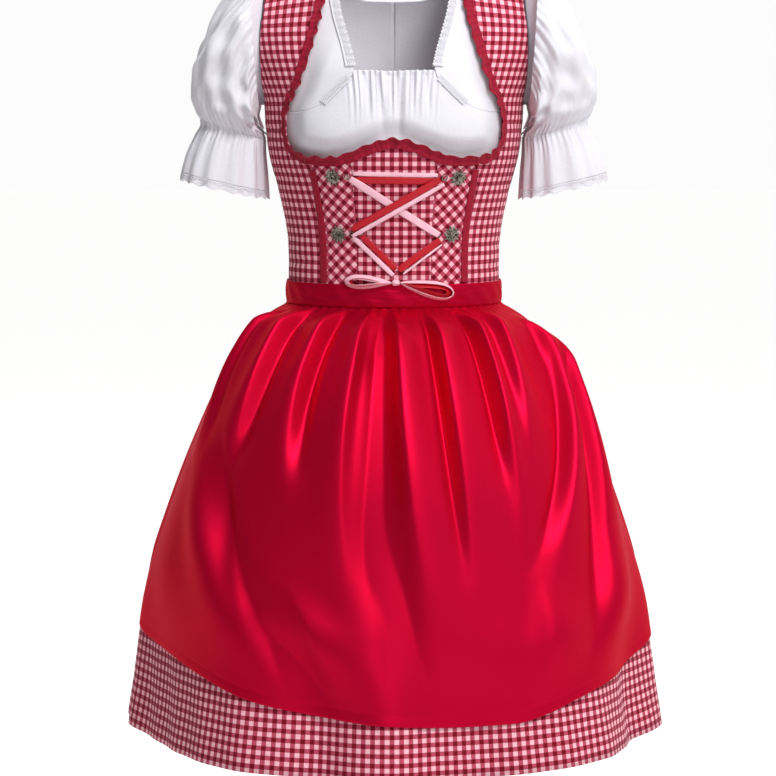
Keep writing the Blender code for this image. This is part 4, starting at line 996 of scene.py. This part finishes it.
# The apron: one width of red satin, pleated into its waistband, with rounded lower corners
# and a narrow stitched hem. The pleats run out and cross the front as loose folds.
APRON_SIDE_TOP = 90.0
APRON_SIDE_HEM = 78.0
APRON_OVER_SKIRT = 0.0032
APRON_TOP = -0.4175
SATIN_WALL = 0.0007
# hem of the apron: angle, height
APRON_HEM = (
    (-78.0, -0.7980), (-73.0, -0.8050), (-55.0, -0.8150), (-41.0, -0.8270), (-31.0, -0.8390),
    (-22.0, -0.8480), (-13.0, -0.8540), (0.0, -0.8600), (14.0, -0.8640), (24.0, -0.8640),
    (31.0, -0.8570), (38.0, -0.8460), (47.0, -0.8370), (63.0, -0.8270), (75.0, -0.8110),
    (78.0, -0.8060),
)
apron_hem = spline(*zip(*APRON_HEM))
# folds: angles at top, middle and foot, heights of top and foot, rise, width left and right
APRON_FOLDS = (
    (-67.0, -67.0, -66.0, -0.420, -0.620, 0.0120, 2.6, 9.0),
    (-47.7, -48.6, -52.0, -0.417, -0.640, 0.0130, 6.0, 2.2),
    (-26.2, -30.4, -27.0, -0.417, -0.640, 0.0130, 6.5, 1.8),
    (-10.6, -13.4, -10.2, -0.417, -0.730, 0.0150, 5.5, 1.5),
    (1.0, 4.2, 11.0, -0.417, -0.850, 0.0240, 2.2, 7.0),
    (15.6, 16.8, 18.6, -0.417, -0.760, 0.0190, 1.7, 7.5),
    (32.4, 32.0, 31.2, -0.417, -0.700, 0.0170, 1.8, 4.0),
    (44.5, 39.5, 37.5, -0.417, -0.660, 0.0150, 2.6, 6.5),
    (67.0, 51.5, 31.5, -0.430, -0.760, 0.0200, 2.6, 8.5),
    (72.0, 60.0, 46.0, -0.440, -0.850, 0.0180, 3.0, 9.0),
    (-66.0, -46.5, -25.0, -0.540, -0.850, 0.0190, 7.0, 4.6),
    (-45.0, -37.0, -27.0, -0.600, -0.810, 0.0100, 2.4, 5.5),
    (-25.0, -15.0, -9.0, -0.700, -0.865, 0.0130, 3.0, 6.5),
    (34.0, 34.0, 31.0, -0.690, -0.868, 0.0140, 3.4, 8.0),
    (60.0, 56.0, 50.0, -0.660, -0.840, 0.0110, 4.0, 8.0),
)
# creases: angles at top, middle and foot, heights of top and foot, depth, half width
APRON_VALLEYS = (
    (-5.4, -5.0, -5.8, -0.417, -0.770, 0.0190, 3.2),
    (12.6, 13.8, 15.6, -0.418, -0.720, 0.0080, 1.2),
    (29.2, 29.2, 28.2, -0.418, -0.620, 0.0080, 1.3),
    (64.0, 48.5, 28.4, -0.460, -0.720, 0.0090, 1.8),
    (66.0, 56.0, 42.0, -0.480, -0.830, 0.0130, 2.4),
    (-58.5, -38.5, -18.5, -0.530, -0.840, 0.0120, 3.4),
    (-44.2, -45.0, -48.0, -0.418, -0.620, 0.0100, 2.2),
    (-22.9, -27.0, -23.6, -0.418, -0.620, 0.0110, 2.2),
    (-64.0, -63.0, -60.0, -0.420, -0.600, 0.0070, 2.2),
    (-2.0, 1.0, 5.0, -0.620, -0.870, 0.0170, 4.6),
    (-31.0, -22.0, -14.0, -0.740, -0.862, 0.0100, 3.4),
)
FOLD_FLOOR = -0.0012       # the deepest place of a crease, so that it stays off the skirt
APRON_STAND_OFF = 0.0100   # how far the apron stands off the skirt between its creases


def beside_fold(angle, height, top, middle, foot, start, end):
    """How far down a fold a height is, from 0 to 1, and how far beside it an angle lies."""
    f = np.clip((height - start) / (end - start), 0.0, 1.0)
    line = top * (1 - f) * (1 - 2 * f) + 4 * middle * f * (1 - f) + foot * f * (2 * f - 1)
    return f, angle - line


def apron_fold(angle, height):
    """Height of the apron's folds over its ground: soft ridges and sharper creases."""
    rise = 0.0
    for top, middle, foot, start, end, most, left, right in APRON_FOLDS:
        f, aside = beside_fold(angle, height, top, middle, foot, start, end)
        spread = aside / (np.where(aside < 0, left, right) * (0.75 + 0.7 * f))
        begins = 0.14 if start > -0.5 else 0.55
        rise = rise + most * ease(0.0, begins, f) * ease(1.0, 0.30, f) * np.exp(-spread ** 2)
    for top, middle, foot, start, end, most, half in APRON_VALLEYS:
        f, aside = beside_fold(angle, height, top, middle, foot, start, end)
        spread = aside / (half * (0.8 + 0.7 * f))
        begins = 0.12 if start > -0.5 else 0.50
        rise = rise - most * ease(0.0, begins, f) * ease(1.0, 0.60, f) \
            * np.exp(-np.abs(spread) ** 1.6)
    return rise


SATIN_RED = "#C80732"
# painted shade: a darker copy of the satin's red, used for the waistband and the ties
SATIN_RED_PAINTED_SHADE = "#BC0830"


def red_satin(name, colour):
    """Polyester satin: red weft floats that shine softly, in paler pink where they catch
    the light, over a darker ground."""
    made, tree, shader = new_material(name, {
        "Base Color": linear(colour), "Metallic": 0.7, "Roughness": 0.45,
        "Anisotropic": 0.4, "Specular IOR Level": 0.2, "Specular Tint": linear("#FF8098")})
    cloth = add_node(tree, "ShaderNodeTexCoord").outputs["UV"]
    fibres = mottling(tree, cloth, 600.0, 2.0)
    rough = add_node(tree, "ShaderNodeMapRange", {}, {
        "Value": fibres, "From Min": 0.3, "From Max": 0.7, "To Min": 0.45, "To Max": 0.55})
    tree.links.new(rough.outputs["Result"], shader.inputs["Roughness"])
    emboss(tree, shader, fibres, 0.10, 0.0003)
    return made


satin = red_satin("polyester_satin_red", SATIN_RED)
# the band and the ties round the waist are cut across the cloth; their satin is a darker copy of
# the apron's, a painted shade
painted_shade_satin = red_satin("polyester_satin_red_painted_shade", SATIN_RED_PAINTED_SHADE)
apron_top_row = skirt_form.row_at(APRON_TOP)


def lay_apron(u, v):
    side = APRON_SIDE_HEM + (APRON_SIDE_TOP - APRON_SIDE_HEM) * ease(-0.12, 0.16, v)
    angle = side * (2 * u - 1)
    hem = skirt_form.row_at(apron_hem(APRON_SIDE_HEM * (2 * u - 1)))
    row = hem + (apron_top_row - hem) * v
    height = skirt_form.height(row)
    above = height - skirt_form.height(hem)
    beside = np.radians(side - np.abs(angle)) * skirt_form.front(row)
    hem_line = -0.0004 * np.exp(-((np.minimum(above, beside) - 0.012) / 0.0013) ** 2)
    near_waist = fine_gathers(angle, height, 62, 0.0004, -0.450)
    stand_off = APRON_STAND_OFF * ease(-0.419, -0.450, height) * ease(0.0, 0.10, above)
    fold = apron_fold(angle, height) * ease(0.0, 0.03, beside + 0.012)
    fold = fold + stand_off * ease(84.0, 62.0, np.abs(angle)) + near_waist
    fold = 0.5 * (fold + FOLD_FLOOR + np.sqrt((fold - FOLD_FLOOR) ** 2 + 0.0012 ** 2))
    out = APRON_OVER_SKIRT + skirt_wave(angle, height) + fold + hem_line
    return skirt_form.outside(angle, row, out), skirt_grain(angle, row)


apron = sew("apron_satin", 420, 260, lay_apron, satin, SATIN_WALL)
cover(apron, "apron_skirt")


# The apron's waistband and ties: a doubled band of the same satin round the waist, which
# goes on as two ties and ends in a bow at the centre back.
# height, half width, depth in front, depth behind, at the band's lower and upper edge
BAND = (
    (-0.4160, 0.1280, 0.0925, 0.0876),
    (-0.3890, 0.1277, 0.0922, 0.0872),
)
band_form = Form(BAND)
BAND_RADIUS = 0.11         # turns angles into metres along the band
BAND_CLOTH = 0.027
# wrinkles of the waistband: middle x and z, direction, half length, half width, depth
BAND_CREASES = (
    (-0.060, -0.4005, 8, 0.045, 0.0022, 0.0010), (-0.020, -0.4060, -6, 0.036, 0.0020, 0.0008),
    (0.030, -0.3990, 5, 0.042, 0.0022, 0.0009), (0.066, -0.4060, -10, 0.036, 0.0022, 0.0009),
    (0.000, -0.3945, -3, 0.030, 0.0018, 0.0007), (-0.090, -0.4080, -12, 0.026, 0.0020, 0.0008),
    (0.096, -0.3960, 12, 0.024, 0.0020, 0.0008),
)


def lay_band(start, end):
    def lay(u, v):
        angle = start + (end - start) * u
        row = v * band_form.top
        at = band_form.point(angle, row)
        rounded = 0.0011 * (1 - np.abs(2 * v - 1) ** 3)
        wrinkled = creases(at[:, 0], at[:, 2], BAND_CREASES)
        slack = 0.0005 * np.sin(0.45 * angle + 5 * v) * np.sin(np.pi * v)
        grain = np.stack([np.radians(angle) * BAND_RADIUS, BAND_CLOTH * v], axis=-1)
        return band_form.outside(angle, row, rounded + wrinkled + slack), grain

    return lay


waistband = sew("apron_waistband_satin", 260, 20, lay_band(-90.0, 90.0), painted_shade_satin, 0.0010)
cover(waistband, "apron_waistband")
for side_name, start, end in (("left", 90.4, 177.3), ("right", 182.7, 269.6)):
    tie = sew(f"apron_tie_satin_{side_name}", 120, 18, lay_band(start, end), painted_shade_satin,
              0.0009)
    cover(tie, f"apron_tie_{side_name}")

BACK_BOW_HEIGHT = -0.4005
TIE_OFF_SKIRT = 0.0084
TIE_END_TOP = -0.4240
TIE_END_DROP = 0.300


def pinch_tie_knot(points):
    folds = 1 + 0.06 * np.cos(6 * np.arctan2(points[:, 2], points[:, 0]) + 4 * points[:, 2])
    box = signed_power(points, 0.65) * np.array((0.0055, 0.0075, 0.0122))
    return box * folds[:, None] + np.array((0.0, 0.0938, BACK_BOW_HEIGHT))


tie_knot = add_knot("apron_tie_satin_knot", 40, 24, pinch_tie_knot)
tie_knot.data.materials.append(satin)
cover(tie_knot, "apron_tie_knot")

for side_name, side in SIDES:
    def lay_tie_loop(u, v):
        turn = 2 * np.pi * (u if side < 0 else 1 - u)
        along = 0.5 * (1 - np.cos(turn))
        x = 0.0060 + 0.080 * along
        y = 0.0990 - 2.6 * x * x + 0.0125 * np.sin(turn) * (0.3 + 0.7 * along)
        width = 0.016 + 0.013 * ease(0.0, 0.5, along)
        z = BACK_BOW_HEIGHT - 0.002 * along + width * (v - 0.5)
        pleats = 0.0009 * np.cos(4 * np.pi * v) * (1 - ease(0.0, 0.55, along))
        points = np.stack([side * x, y + 0.006 * along + pleats, z], axis=-1)
        return points, np.stack([0.19 * u, 0.029 * v], axis=-1)

    def lay_tie_end(u, v):
        angle = 180.0 - side * (1.0 + 9.0 * u)
        width = 0.010 + 0.024 * ease(0.0, 0.3, u)
        row = skirt_form.row_at(TIE_END_TOP - TIE_END_DROP * u)
        on_skirt = skirt_form.outside(angle, row, TIE_OFF_SKIRT)
        at_knot = np.array((0.0, 0.0960, BACK_BOW_HEIGHT - 0.0126))
        place = at_knot + (on_skirt - at_knot) * ease(-0.03, 0.10, u)[:, None]
        folds = 0.0014 * np.cos(2 * np.pi * v + 3 * u) * (1 - 0.6 * u)
        shift = np.stack([side * 0.0065 + width * (0.5 - v), folds, 0 * u], axis=-1)
        return place + shift, np.stack([0.034 * v, 0.31 * u], axis=-1)

    tie_loop = sew(f"apron_tie_satin_loop_{side_name}", 110, 16, lay_tie_loop, satin, 0.0008,
                   closed=True)
    cover(tie_loop, f"apron_tie_loop_{side_name}")
    tie_end = sew(f"apron_tie_satin_end_{side_name}", 120, 18, lay_tie_end, satin, 0.0008)
    cover(tie_end, f"apron_tie_end_{side_name}")


# The blouse: fine white cotton under the bodice, gathered into a straight front edge, with
# a shoulder piece on each side. Only its front and shoulders are seen from in front.
BLOUSE_UNDER = 0.0034
BLOUSE_HEM = -0.285
BLOUSE_BULGE = 0.0085
BLOUSE_CREST_GAP = 0.0016
BLOUSE_WALL = 0.0006
# top edge of the blouse's front: angle, height
BLOUSE_TOP = (
    (0.0, -0.1440), (15.2, -0.1440), (16.6, -0.1490), (22.0, -0.1650), (29.5, -0.1800),
    (40.0, -0.1895), (55.0, -0.1905), (75.0, -0.1865), (90.0, -0.1828),
)
# shoulder piece: height and angle of the neck edge, then of the armhole
SHOULDER_PIECE = (
    (-0.1480, 16.6, -0.1828, 90.0),
    (-0.1400, 15.8, -0.1700, 83.4),
    (-0.1250, 16.6, -0.1500, 75.4),
    (-0.1080, 18.0, -0.1300, 69.4),
    (-0.0900, 19.7, -0.1070, 65.7),
    (-0.0720, 21.4, -0.0850, 63.7),
    (-0.0520, 22.6, -0.0600, 62.4),
    (-0.0320, 23.4, -0.0340, 62.9),
    (-0.0180, 23.8, -0.0180, 63.7),
    (-0.0060, 24.2, -0.0060, 65.4),
)
# back: height and angle of the side edge, then of the centre-back and neck edge
BLOUSE_BACK = (
    (-0.2850, 90.0, -0.2850, 180.0),
    (-0.2300, 90.0, -0.1950, 180.0),
    (-0.1828, 90.0, -0.1200, 180.0),
    (-0.1650, 96.6, -0.0570, 180.0),
    (-0.1400, 106.7, -0.0558, 170.0),
    (-0.1100, 113.2, -0.0500, 163.5),
    (-0.0750, 116.7, -0.0330, 158.5),
    (-0.0450, 117.5, -0.0180, 156.8),
    (-0.0180, 116.3, -0.0120, 156.2),
    (-0.0060, 114.6, -0.0060, 155.8),
)


def white_cotton(name, colour):
    """Fine bleached cotton: matt, a little uneven, with the lines of its yarns."""
    made, tree, shader = new_material(name, {
        "Roughness": 0.85, "Sheen Weight": 0.15, "Specular IOR Level": 0.25})
    cloth = add_node(tree, "ShaderNodeTexCoord").outputs["UV"]
    slub = mottling(tree, cloth, 320.0, 3.0)
    shade_colour(tree, shader, linear(colour), slub, (0.3, 0.7), (0.96, 1.02))
    emboss(tree, shader, yarn_lines(tree, cloth, YARN, Distortion=1.0), 0.15, 0.0002)
    return made


blouse_cotton = white_cotton("bleached_cotton_batiste", "#DCDAE2")
blouse_top = spline(*zip(*BLOUSE_TOP))
blouse_hem_row = torso.row_at(BLOUSE_HEM)
neck_rows, neck_angles, _, _ = edges(SIDE_FRONT[NECK_START:])
neck_keys = np.linspace(0, len(SIDE_FRONT) - NECK_START - 1, 80)
neck_x = torso.point(neck_angles(neck_keys), neck_rows(neck_keys))[:, 0]
neck_z = torso.height(neck_rows(neck_keys))


def depth_in_opening(angle, row):
    """How far a place of the torso's front lies inside the bodice's neck opening."""
    x = np.abs(torso.half(row) * np.sin(np.radians(angle)))
    height = torso.height(row)
    above = height - sweetheart(np.minimum(np.abs(angle), PRINCESS_ANGLE))
    beside = np.hypot(x[..., None] - neck_x, height[..., None] - neck_z).min(axis=-1)
    outside = (x > np.interp(height, neck_z, neck_x)) | (above < 0)
    return np.where(outside, 0.0, np.minimum(above, beside))


def blouse_out(angle, row):
    """The blouse lies inside the bodice and swells in the neck opening."""
    rise = ease(0.006, 0.030, depth_in_opening(angle, row))
    lower = ease(-0.10, -0.15, torso.height(row))
    return -BLOUSE_UNDER + rise * (0.0012 + BLOUSE_BULGE * lower)


front_angles = spline((0.0, 0.20, 0.5, 0.80, 1.0),
                      (SIDE_SEAM - 90.0, -20.0, 0.0, 20.0, 90.0 - SIDE_SEAM))
# folds under the neck edge: angle at the edge and lower down, half width, depth, length
NECK_FOLDS = (
    (-6.5, -4.5, 0.9, 0.0045, 0.60), (1.8, 2.4, 0.9, 0.0045, 0.65),
    (-12.0, -10.5, 0.8, 0.0030, 0.45), (7.5, 9.0, 0.8, 0.0030, 0.46),
    (12.8, 15.5, 0.9, 0.0030, 0.42), (-2.0, -1.6, 0.7, 0.0026, 0.40),
)


def lay_blouse_front(u, v):
    angle = front_angles(u)
    top = torso.row_at(blouse_top(np.abs(angle)))
    row = blouse_hem_row + (top - blouse_hem_row) * v
    gathered = ease(22.0, 15.0, np.abs(angle)) * ease(0.55, 0.98, v)
    phase = 2 * np.pi * angle / 2.3 + 0.8 * np.sin(0.9 * angle)
    wave = 0.0016 * (1 + 0.4 * np.sin(0.7 * angle + 1)) * np.cos(phase) * gathered
    for at_edge, lower, half, depth, length in NECK_FOLDS:
        f = np.clip((1 - v) / length, 0.0, 1.0)
        aside = (angle - at_edge - (lower - at_edge) * f) / (half * (1 + 1.2 * f))
        wave = wave - depth * np.exp(-aside ** 2) * ease(0.0, 0.1, f) * ease(1.0, 0.3, f)
    inside = ease(0.0, 0.02, depth_in_opening(angle, row))
    valley = 0.0045 * np.exp(-((angle + 1.5) / 7.0) ** 2) * inside
    stitched = -0.0006 * np.exp(-((1 - v) / 0.035 - 1) ** 2 * 12)
    stitched = stitched * ease(16.5, 15.0, np.abs(angle))
    points = torso.outside(angle, row, blouse_out(angle, row) + wave - valley + stitched)
    return points, torso.grain(angle, row, 0.0)


blouse_front = sew("blouse_front_cotton", 300, 110, lay_blouse_front, blouse_cotton, BLOUSE_WALL)
cover(blouse_front, "blouse_front")


def lay_shoulder_piece(side):
    """Between the neck edge and the armhole; its foot follows the blouse front's seam."""
    row_a, angle_a, row_b, angle_b = edges(SHOULDER_PIECE)
    last = len(SHOULDER_PIECE) - 1

    def lay(u, v):
        across = u if side > 0 else 1 - u
        key = v * last
        angle = angle_a(key) + (angle_b(key) - angle_a(key)) * across
        foot_angle = angle_a(0) + (angle_b(0) - angle_a(0)) * across
        row = row_a(key) + (row_b(key) - row_a(key)) * across
        foot_row = row_a(0) + (row_b(0) - row_a(0)) * across
        row = row + (torso.row_at(blouse_top(foot_angle) + 0.0001) - foot_row) * (1 - v) ** 4
        row = np.minimum(row, torso.crest_row(angle, BLOUSE_CREST_GAP))
        points = torso.outside(side * angle, row, blouse_out(side * angle, row))
        return points, torso.grain(side * angle, row, side * 40.0)

    return lay


for side_name, side in SIDES:
    shoulder = sew(f"blouse_shoulder_cotton_{side_name}", 70, 120, lay_shoulder_piece(side),
                   blouse_cotton, BLOUSE_WALL)
    cover(shoulder, f"blouse_shoulder_{side_name}")

    def lay_blouse_back(u, v):
        angle, row = between_edges(BLOUSE_BACK, side, SIDE_SEAM, 0.03, BLOUSE_CREST_GAP)(u, v)
        points = torso.outside(angle, row, -BLOUSE_UNDER - 0.0006)
        return points, torso.grain(angle, row, side * 140.0)

    blouse_back = sew(f"blouse_back_cotton_{side_name}", 70, 120, lay_blouse_back,
                      blouse_cotton, BLOUSE_WALL)
    cover(blouse_back, f"blouse_back_{side_name}")


# The puffed sleeves: one piece of the same cotton each, gathered into the armhole and drawn
# in by an elastic above the hem, which ends in a cotton lace edging.
# outer x and height, inner x and height, half depth, depth of the gathers, ring by ring
SLEEVE = (
    (0.1665, -0.0290, 0.1580, -0.1840, 0.0620, 0.0030),
    (0.1870, -0.0500, 0.1605, -0.1960, 0.0670, 0.0030),
    (0.2090, -0.0790, 0.1580, -0.2050, 0.0670, 0.0015),
    (0.2265, -0.1130, 0.1570, -0.2095, 0.0650, 0.0010),
    (0.2365, -0.1450, 0.1560, -0.2130, 0.0600, 0.0010),
    (0.2390, -0.1700, 0.1555, -0.2160, 0.0520, 0.0015),
    (0.2320, -0.1900, 0.1550, -0.2200, 0.0430, 0.0020),
    (0.2255, -0.2050, 0.1550, -0.2240, 0.0360, 0.0020),
    (0.2330, -0.2190, 0.1545, -0.2360, 0.0410, 0.0026),
    (0.2430, -0.2400, 0.1525, -0.2610, 0.0480, 0.0032),
    (0.2490, -0.2615, 0.1515, -0.2830, 0.0520, 0.0036),
    (0.2510, -0.2720, 0.1510, -0.2935, 0.0535, 0.0036),
)
SLEEVE_HEM = 11.0
ELASTIC_RING = 7.6
SLEEVE_PAST_ARMHOLE = 0.0042
CUFF_SCALLOPS = 18
sleeve_columns = [spline(range(1, len(SLEEVE) + 1), column) for column in zip(*SLEEVE)]


def armhole_loop():
    _, _, front_row, front_angle = edges(SIDE_FRONT[UNDERARM:])
    down = np.linspace(len(SIDE_FRONT) - UNDERARM - 1, 0, 30)[:-1]
    back_row, back_angle, _, _ = edges(SIDE_BACK[BACK_UNDERARM:])
    up = np.linspace(0, len(SIDE_BACK) - BACK_UNDERARM - 1, 30)[:-1]
    return EdgeLoop(np.concatenate([front_angle(down), back_angle(up)]),
                    np.concatenate([front_row(down), back_row(up)]))


armhole_edge = armhole_loop()


def sleeve_point(ring, fraction, side):
    """A point of the sleeve: ring 0 is the armhole, and the fraction runs round the arm."""
    outer_x, outer_z, inner_x, inner_z, depth, gather = (
        column(np.maximum(ring, 1.0)) for column in sleeve_columns)
    turn = 2 * np.pi * fraction
    across = 0.5 * (1 + signed_power(np.cos(turn), 0.88))
    point = np.stack([inner_x + (outer_x - inner_x) * across,
                      -depth * signed_power(np.sin(turn), 0.88),
                      inner_z + (outer_z - inner_z) * across], axis=-1)
    centre = np.stack([(inner_x + outer_x) / 2, 0 * depth, (inner_z + outer_z) / 2], axis=-1)
    outward = point - centre
    outward /= np.linalg.norm(outward, axis=-1, keepdims=True)
    near_top = ease(4.5, 1.0, ring)
    near_elastic = np.exp(-((ring - ELASTIC_RING) / 1.5) ** 2)
    broad = 0.5 + 0.5 * np.cos(14 * turn + 0.7 * np.sin(2 * turn))
    fine = 0.5 + 0.5 * np.cos(41 * turn + 1.2 * np.sin(3 * turn + 1))
    wave = gather * broad + 0.0024 * fine * (0.75 * near_top + near_elastic)
    puff = np.sin(np.pi * np.clip((ring - 1) / 5.5, 0, 1))
    soft = puff * (0.0042 * np.sin(5 * turn + 0.9 * ring) + 0.0030 * np.sin(9 * turn - 1.7 * ring)
                   + 0.0016 * np.sin(4 * ring + 6 * turn) + 0.0014 * np.sin(14 * turn + 2.9 * ring))
    thread = -0.0012 * np.exp(-((ring - ELASTIC_RING) / 0.16) ** 2)
    point = point + outward * (wave + soft + thread)[:, None]
    edge, edge_out, into_hole = armhole_edge.frame(fraction)
    start = edge - edge_out * (BLOUSE_UNDER - 0.0004) + into_hole * SLEEVE_PAST_ARMHOLE
    short = SLEEVE_PAST_ARMHOLE - ((point - edge) * into_hole).sum(axis=-1)
    clear = point + into_hole * np.maximum(short, 0.0)[:, None]
    joined_on = start + (clear - start) * np.minimum(ring, 1.0)[:, None]
    point = np.where((ring <= 1)[:, None], joined_on, point)
    return point * np.array((side, 1.0, 1.0))


LACE_CELL = 0.0021
SLEEVE_CLOTH = (0.42, 0.27)
CUFF_LACE = (0.30, 0.012)


def lace_holes(across, along, cell):
    """Round holes set in offset rows, in cloth measured in metres."""
    line = np.floor(along / cell)
    x = (across / cell + 0.5 * (line % 2)) % 1.0 - 0.5
    y = along / cell - line - 0.5
    return np.hypot(x, y) < 0.30


for side_name, side in SIDES:
    def lay_sleeve(u, v):
        turn = 1 - u if side > 0 else u
        grain = np.stack([SLEEVE_CLOTH[0] * u, SLEEVE_CLOTH[1] * v], axis=-1)
        return sleeve_point(SLEEVE_HEM * (1 - v), turn, side), grain

    def lay_cuff_lace(u, v):
        turn = 1 - u if side > 0 else u
        scallop = 0.5 + 0.5 * np.cos(2 * np.pi * CUFF_SCALLOPS * u)
        length = 0.78 + 0.22 * scallop
        grain = np.stack([CUFF_LACE[0] * u, CUFF_LACE[1] * v], axis=-1)
        return sleeve_point(SLEEVE_HEM + 0.04 + (length - 0.04) * (1 - v), turn, side), grain

    def cuff_holes(u, v):
        inside = (v > 0.22) & (v < 0.86)
        return inside & lace_holes(CUFF_LACE[0] * u, CUFF_LACE[1] * v, LACE_CELL)

    sleeve = sew(f"sleeve_cotton_{side_name}", 360, 190, lay_sleeve, blouse_cotton, BLOUSE_WALL,
                 closed=True)
    cover(sleeve, f"sleeve_{side_name}")
    cuff_lace = sew(f"cuff_lace_cotton_{side_name}", 720, 20, lay_cuff_lace, blouse_cotton,
                    BLOUSE_WALL, closed=True, holes=cuff_holes)
    cover(cuff_lace, f"cuff_lace_{side_name}")


# The laces of the neck: a scalloped cotton edging along both sides of the neck opening and
# a narrow insertion let into the front on each slant.
NECK_LACE_WIDTH = 0.012
INSERT_LACE_WIDTH = 0.008
NECK_LACE_LENGTH = 0.165
INSERT_LACE = (0.0500, -0.1520, 0.0790, -0.1810)   # x and height of both ends
LACE_OUT = 0.0018
LACE_FOOT = 0.0014         # the plain foot of the neck lace
shoulder_rows, shoulder_angles, _, _ = edges(SHOULDER_PIECE)
for side_name, side in SIDES:
    def lay_neck_lace(u, v):
        key = 1.0 + (len(SHOULDER_PIECE) - 2.1) * v
        row = shoulder_rows(key)
        across = u if side > 0 else 1 - u
        scallop = 0.0009 * np.cos(2 * np.pi * v * 34) * (1 - across)
        width = np.degrees(NECK_LACE_WIDTH / torso.half(row))
        angle = side * (shoulder_angles(key) - 0.8 + width * across
                        - np.degrees(scallop / torso.half(row)))
        out = blouse_out(side * (shoulder_angles(key) + 0.5 * width), row) + LACE_OUT
        ripple = 0.0006 * np.sin(2 * np.pi * v * 17) * (1 - across)
        grain = np.stack([NECK_LACE_WIDTH * across, NECK_LACE_LENGTH * v], axis=-1)
        return torso.outside(angle, row, out + ripple), grain

    def neck_holes(u, v):
        across = NECK_LACE_WIDTH * (u if side > 0 else 1 - u)
        inside = (across > LACE_FOOT) & (across < 0.0104)
        return inside & lace_holes(NECK_LACE_LENGTH * v, across - LACE_FOOT, LACE_CELL)

    def lay_insert_lace(u, v):
        aside = INSERT_LACE_WIDTH * (v - 0.5 if side > 0 else 0.5 - v)
        x, z, length = beside_line(*INSERT_LACE, u, aside)
        row = torso.row_at(z)
        angle = side * np.degrees(np.arcsin(x / torso.half(row)))
        grain = np.stack([length * u, INSERT_LACE_WIDTH * v], axis=-1)
        return torso.outside(angle, row, blouse_out(angle, row) + LACE_OUT), grain

    def insert_holes(u, v):
        inside = (v > 0.14) & (v < 0.86)
        length = beside_line(*INSERT_LACE, 0.0, 0.0)[2]
        return inside & lace_holes(length * u, INSERT_LACE_WIDTH * v, LACE_CELL)

    neck_lace = sew(f"neck_lace_cotton_{side_name}", 36, 500, lay_neck_lace, blouse_cotton,
                    BLOUSE_WALL, holes=neck_holes)
    cover(neck_lace, f"neck_lace_{side_name}")
    insert_lace = sew(f"insert_lace_cotton_{side_name}", 120, 24, lay_insert_lace,
                      blouse_cotton, BLOUSE_WALL, holes=insert_holes)
    cover(insert_lace, f"insert_lace_{side_name}")
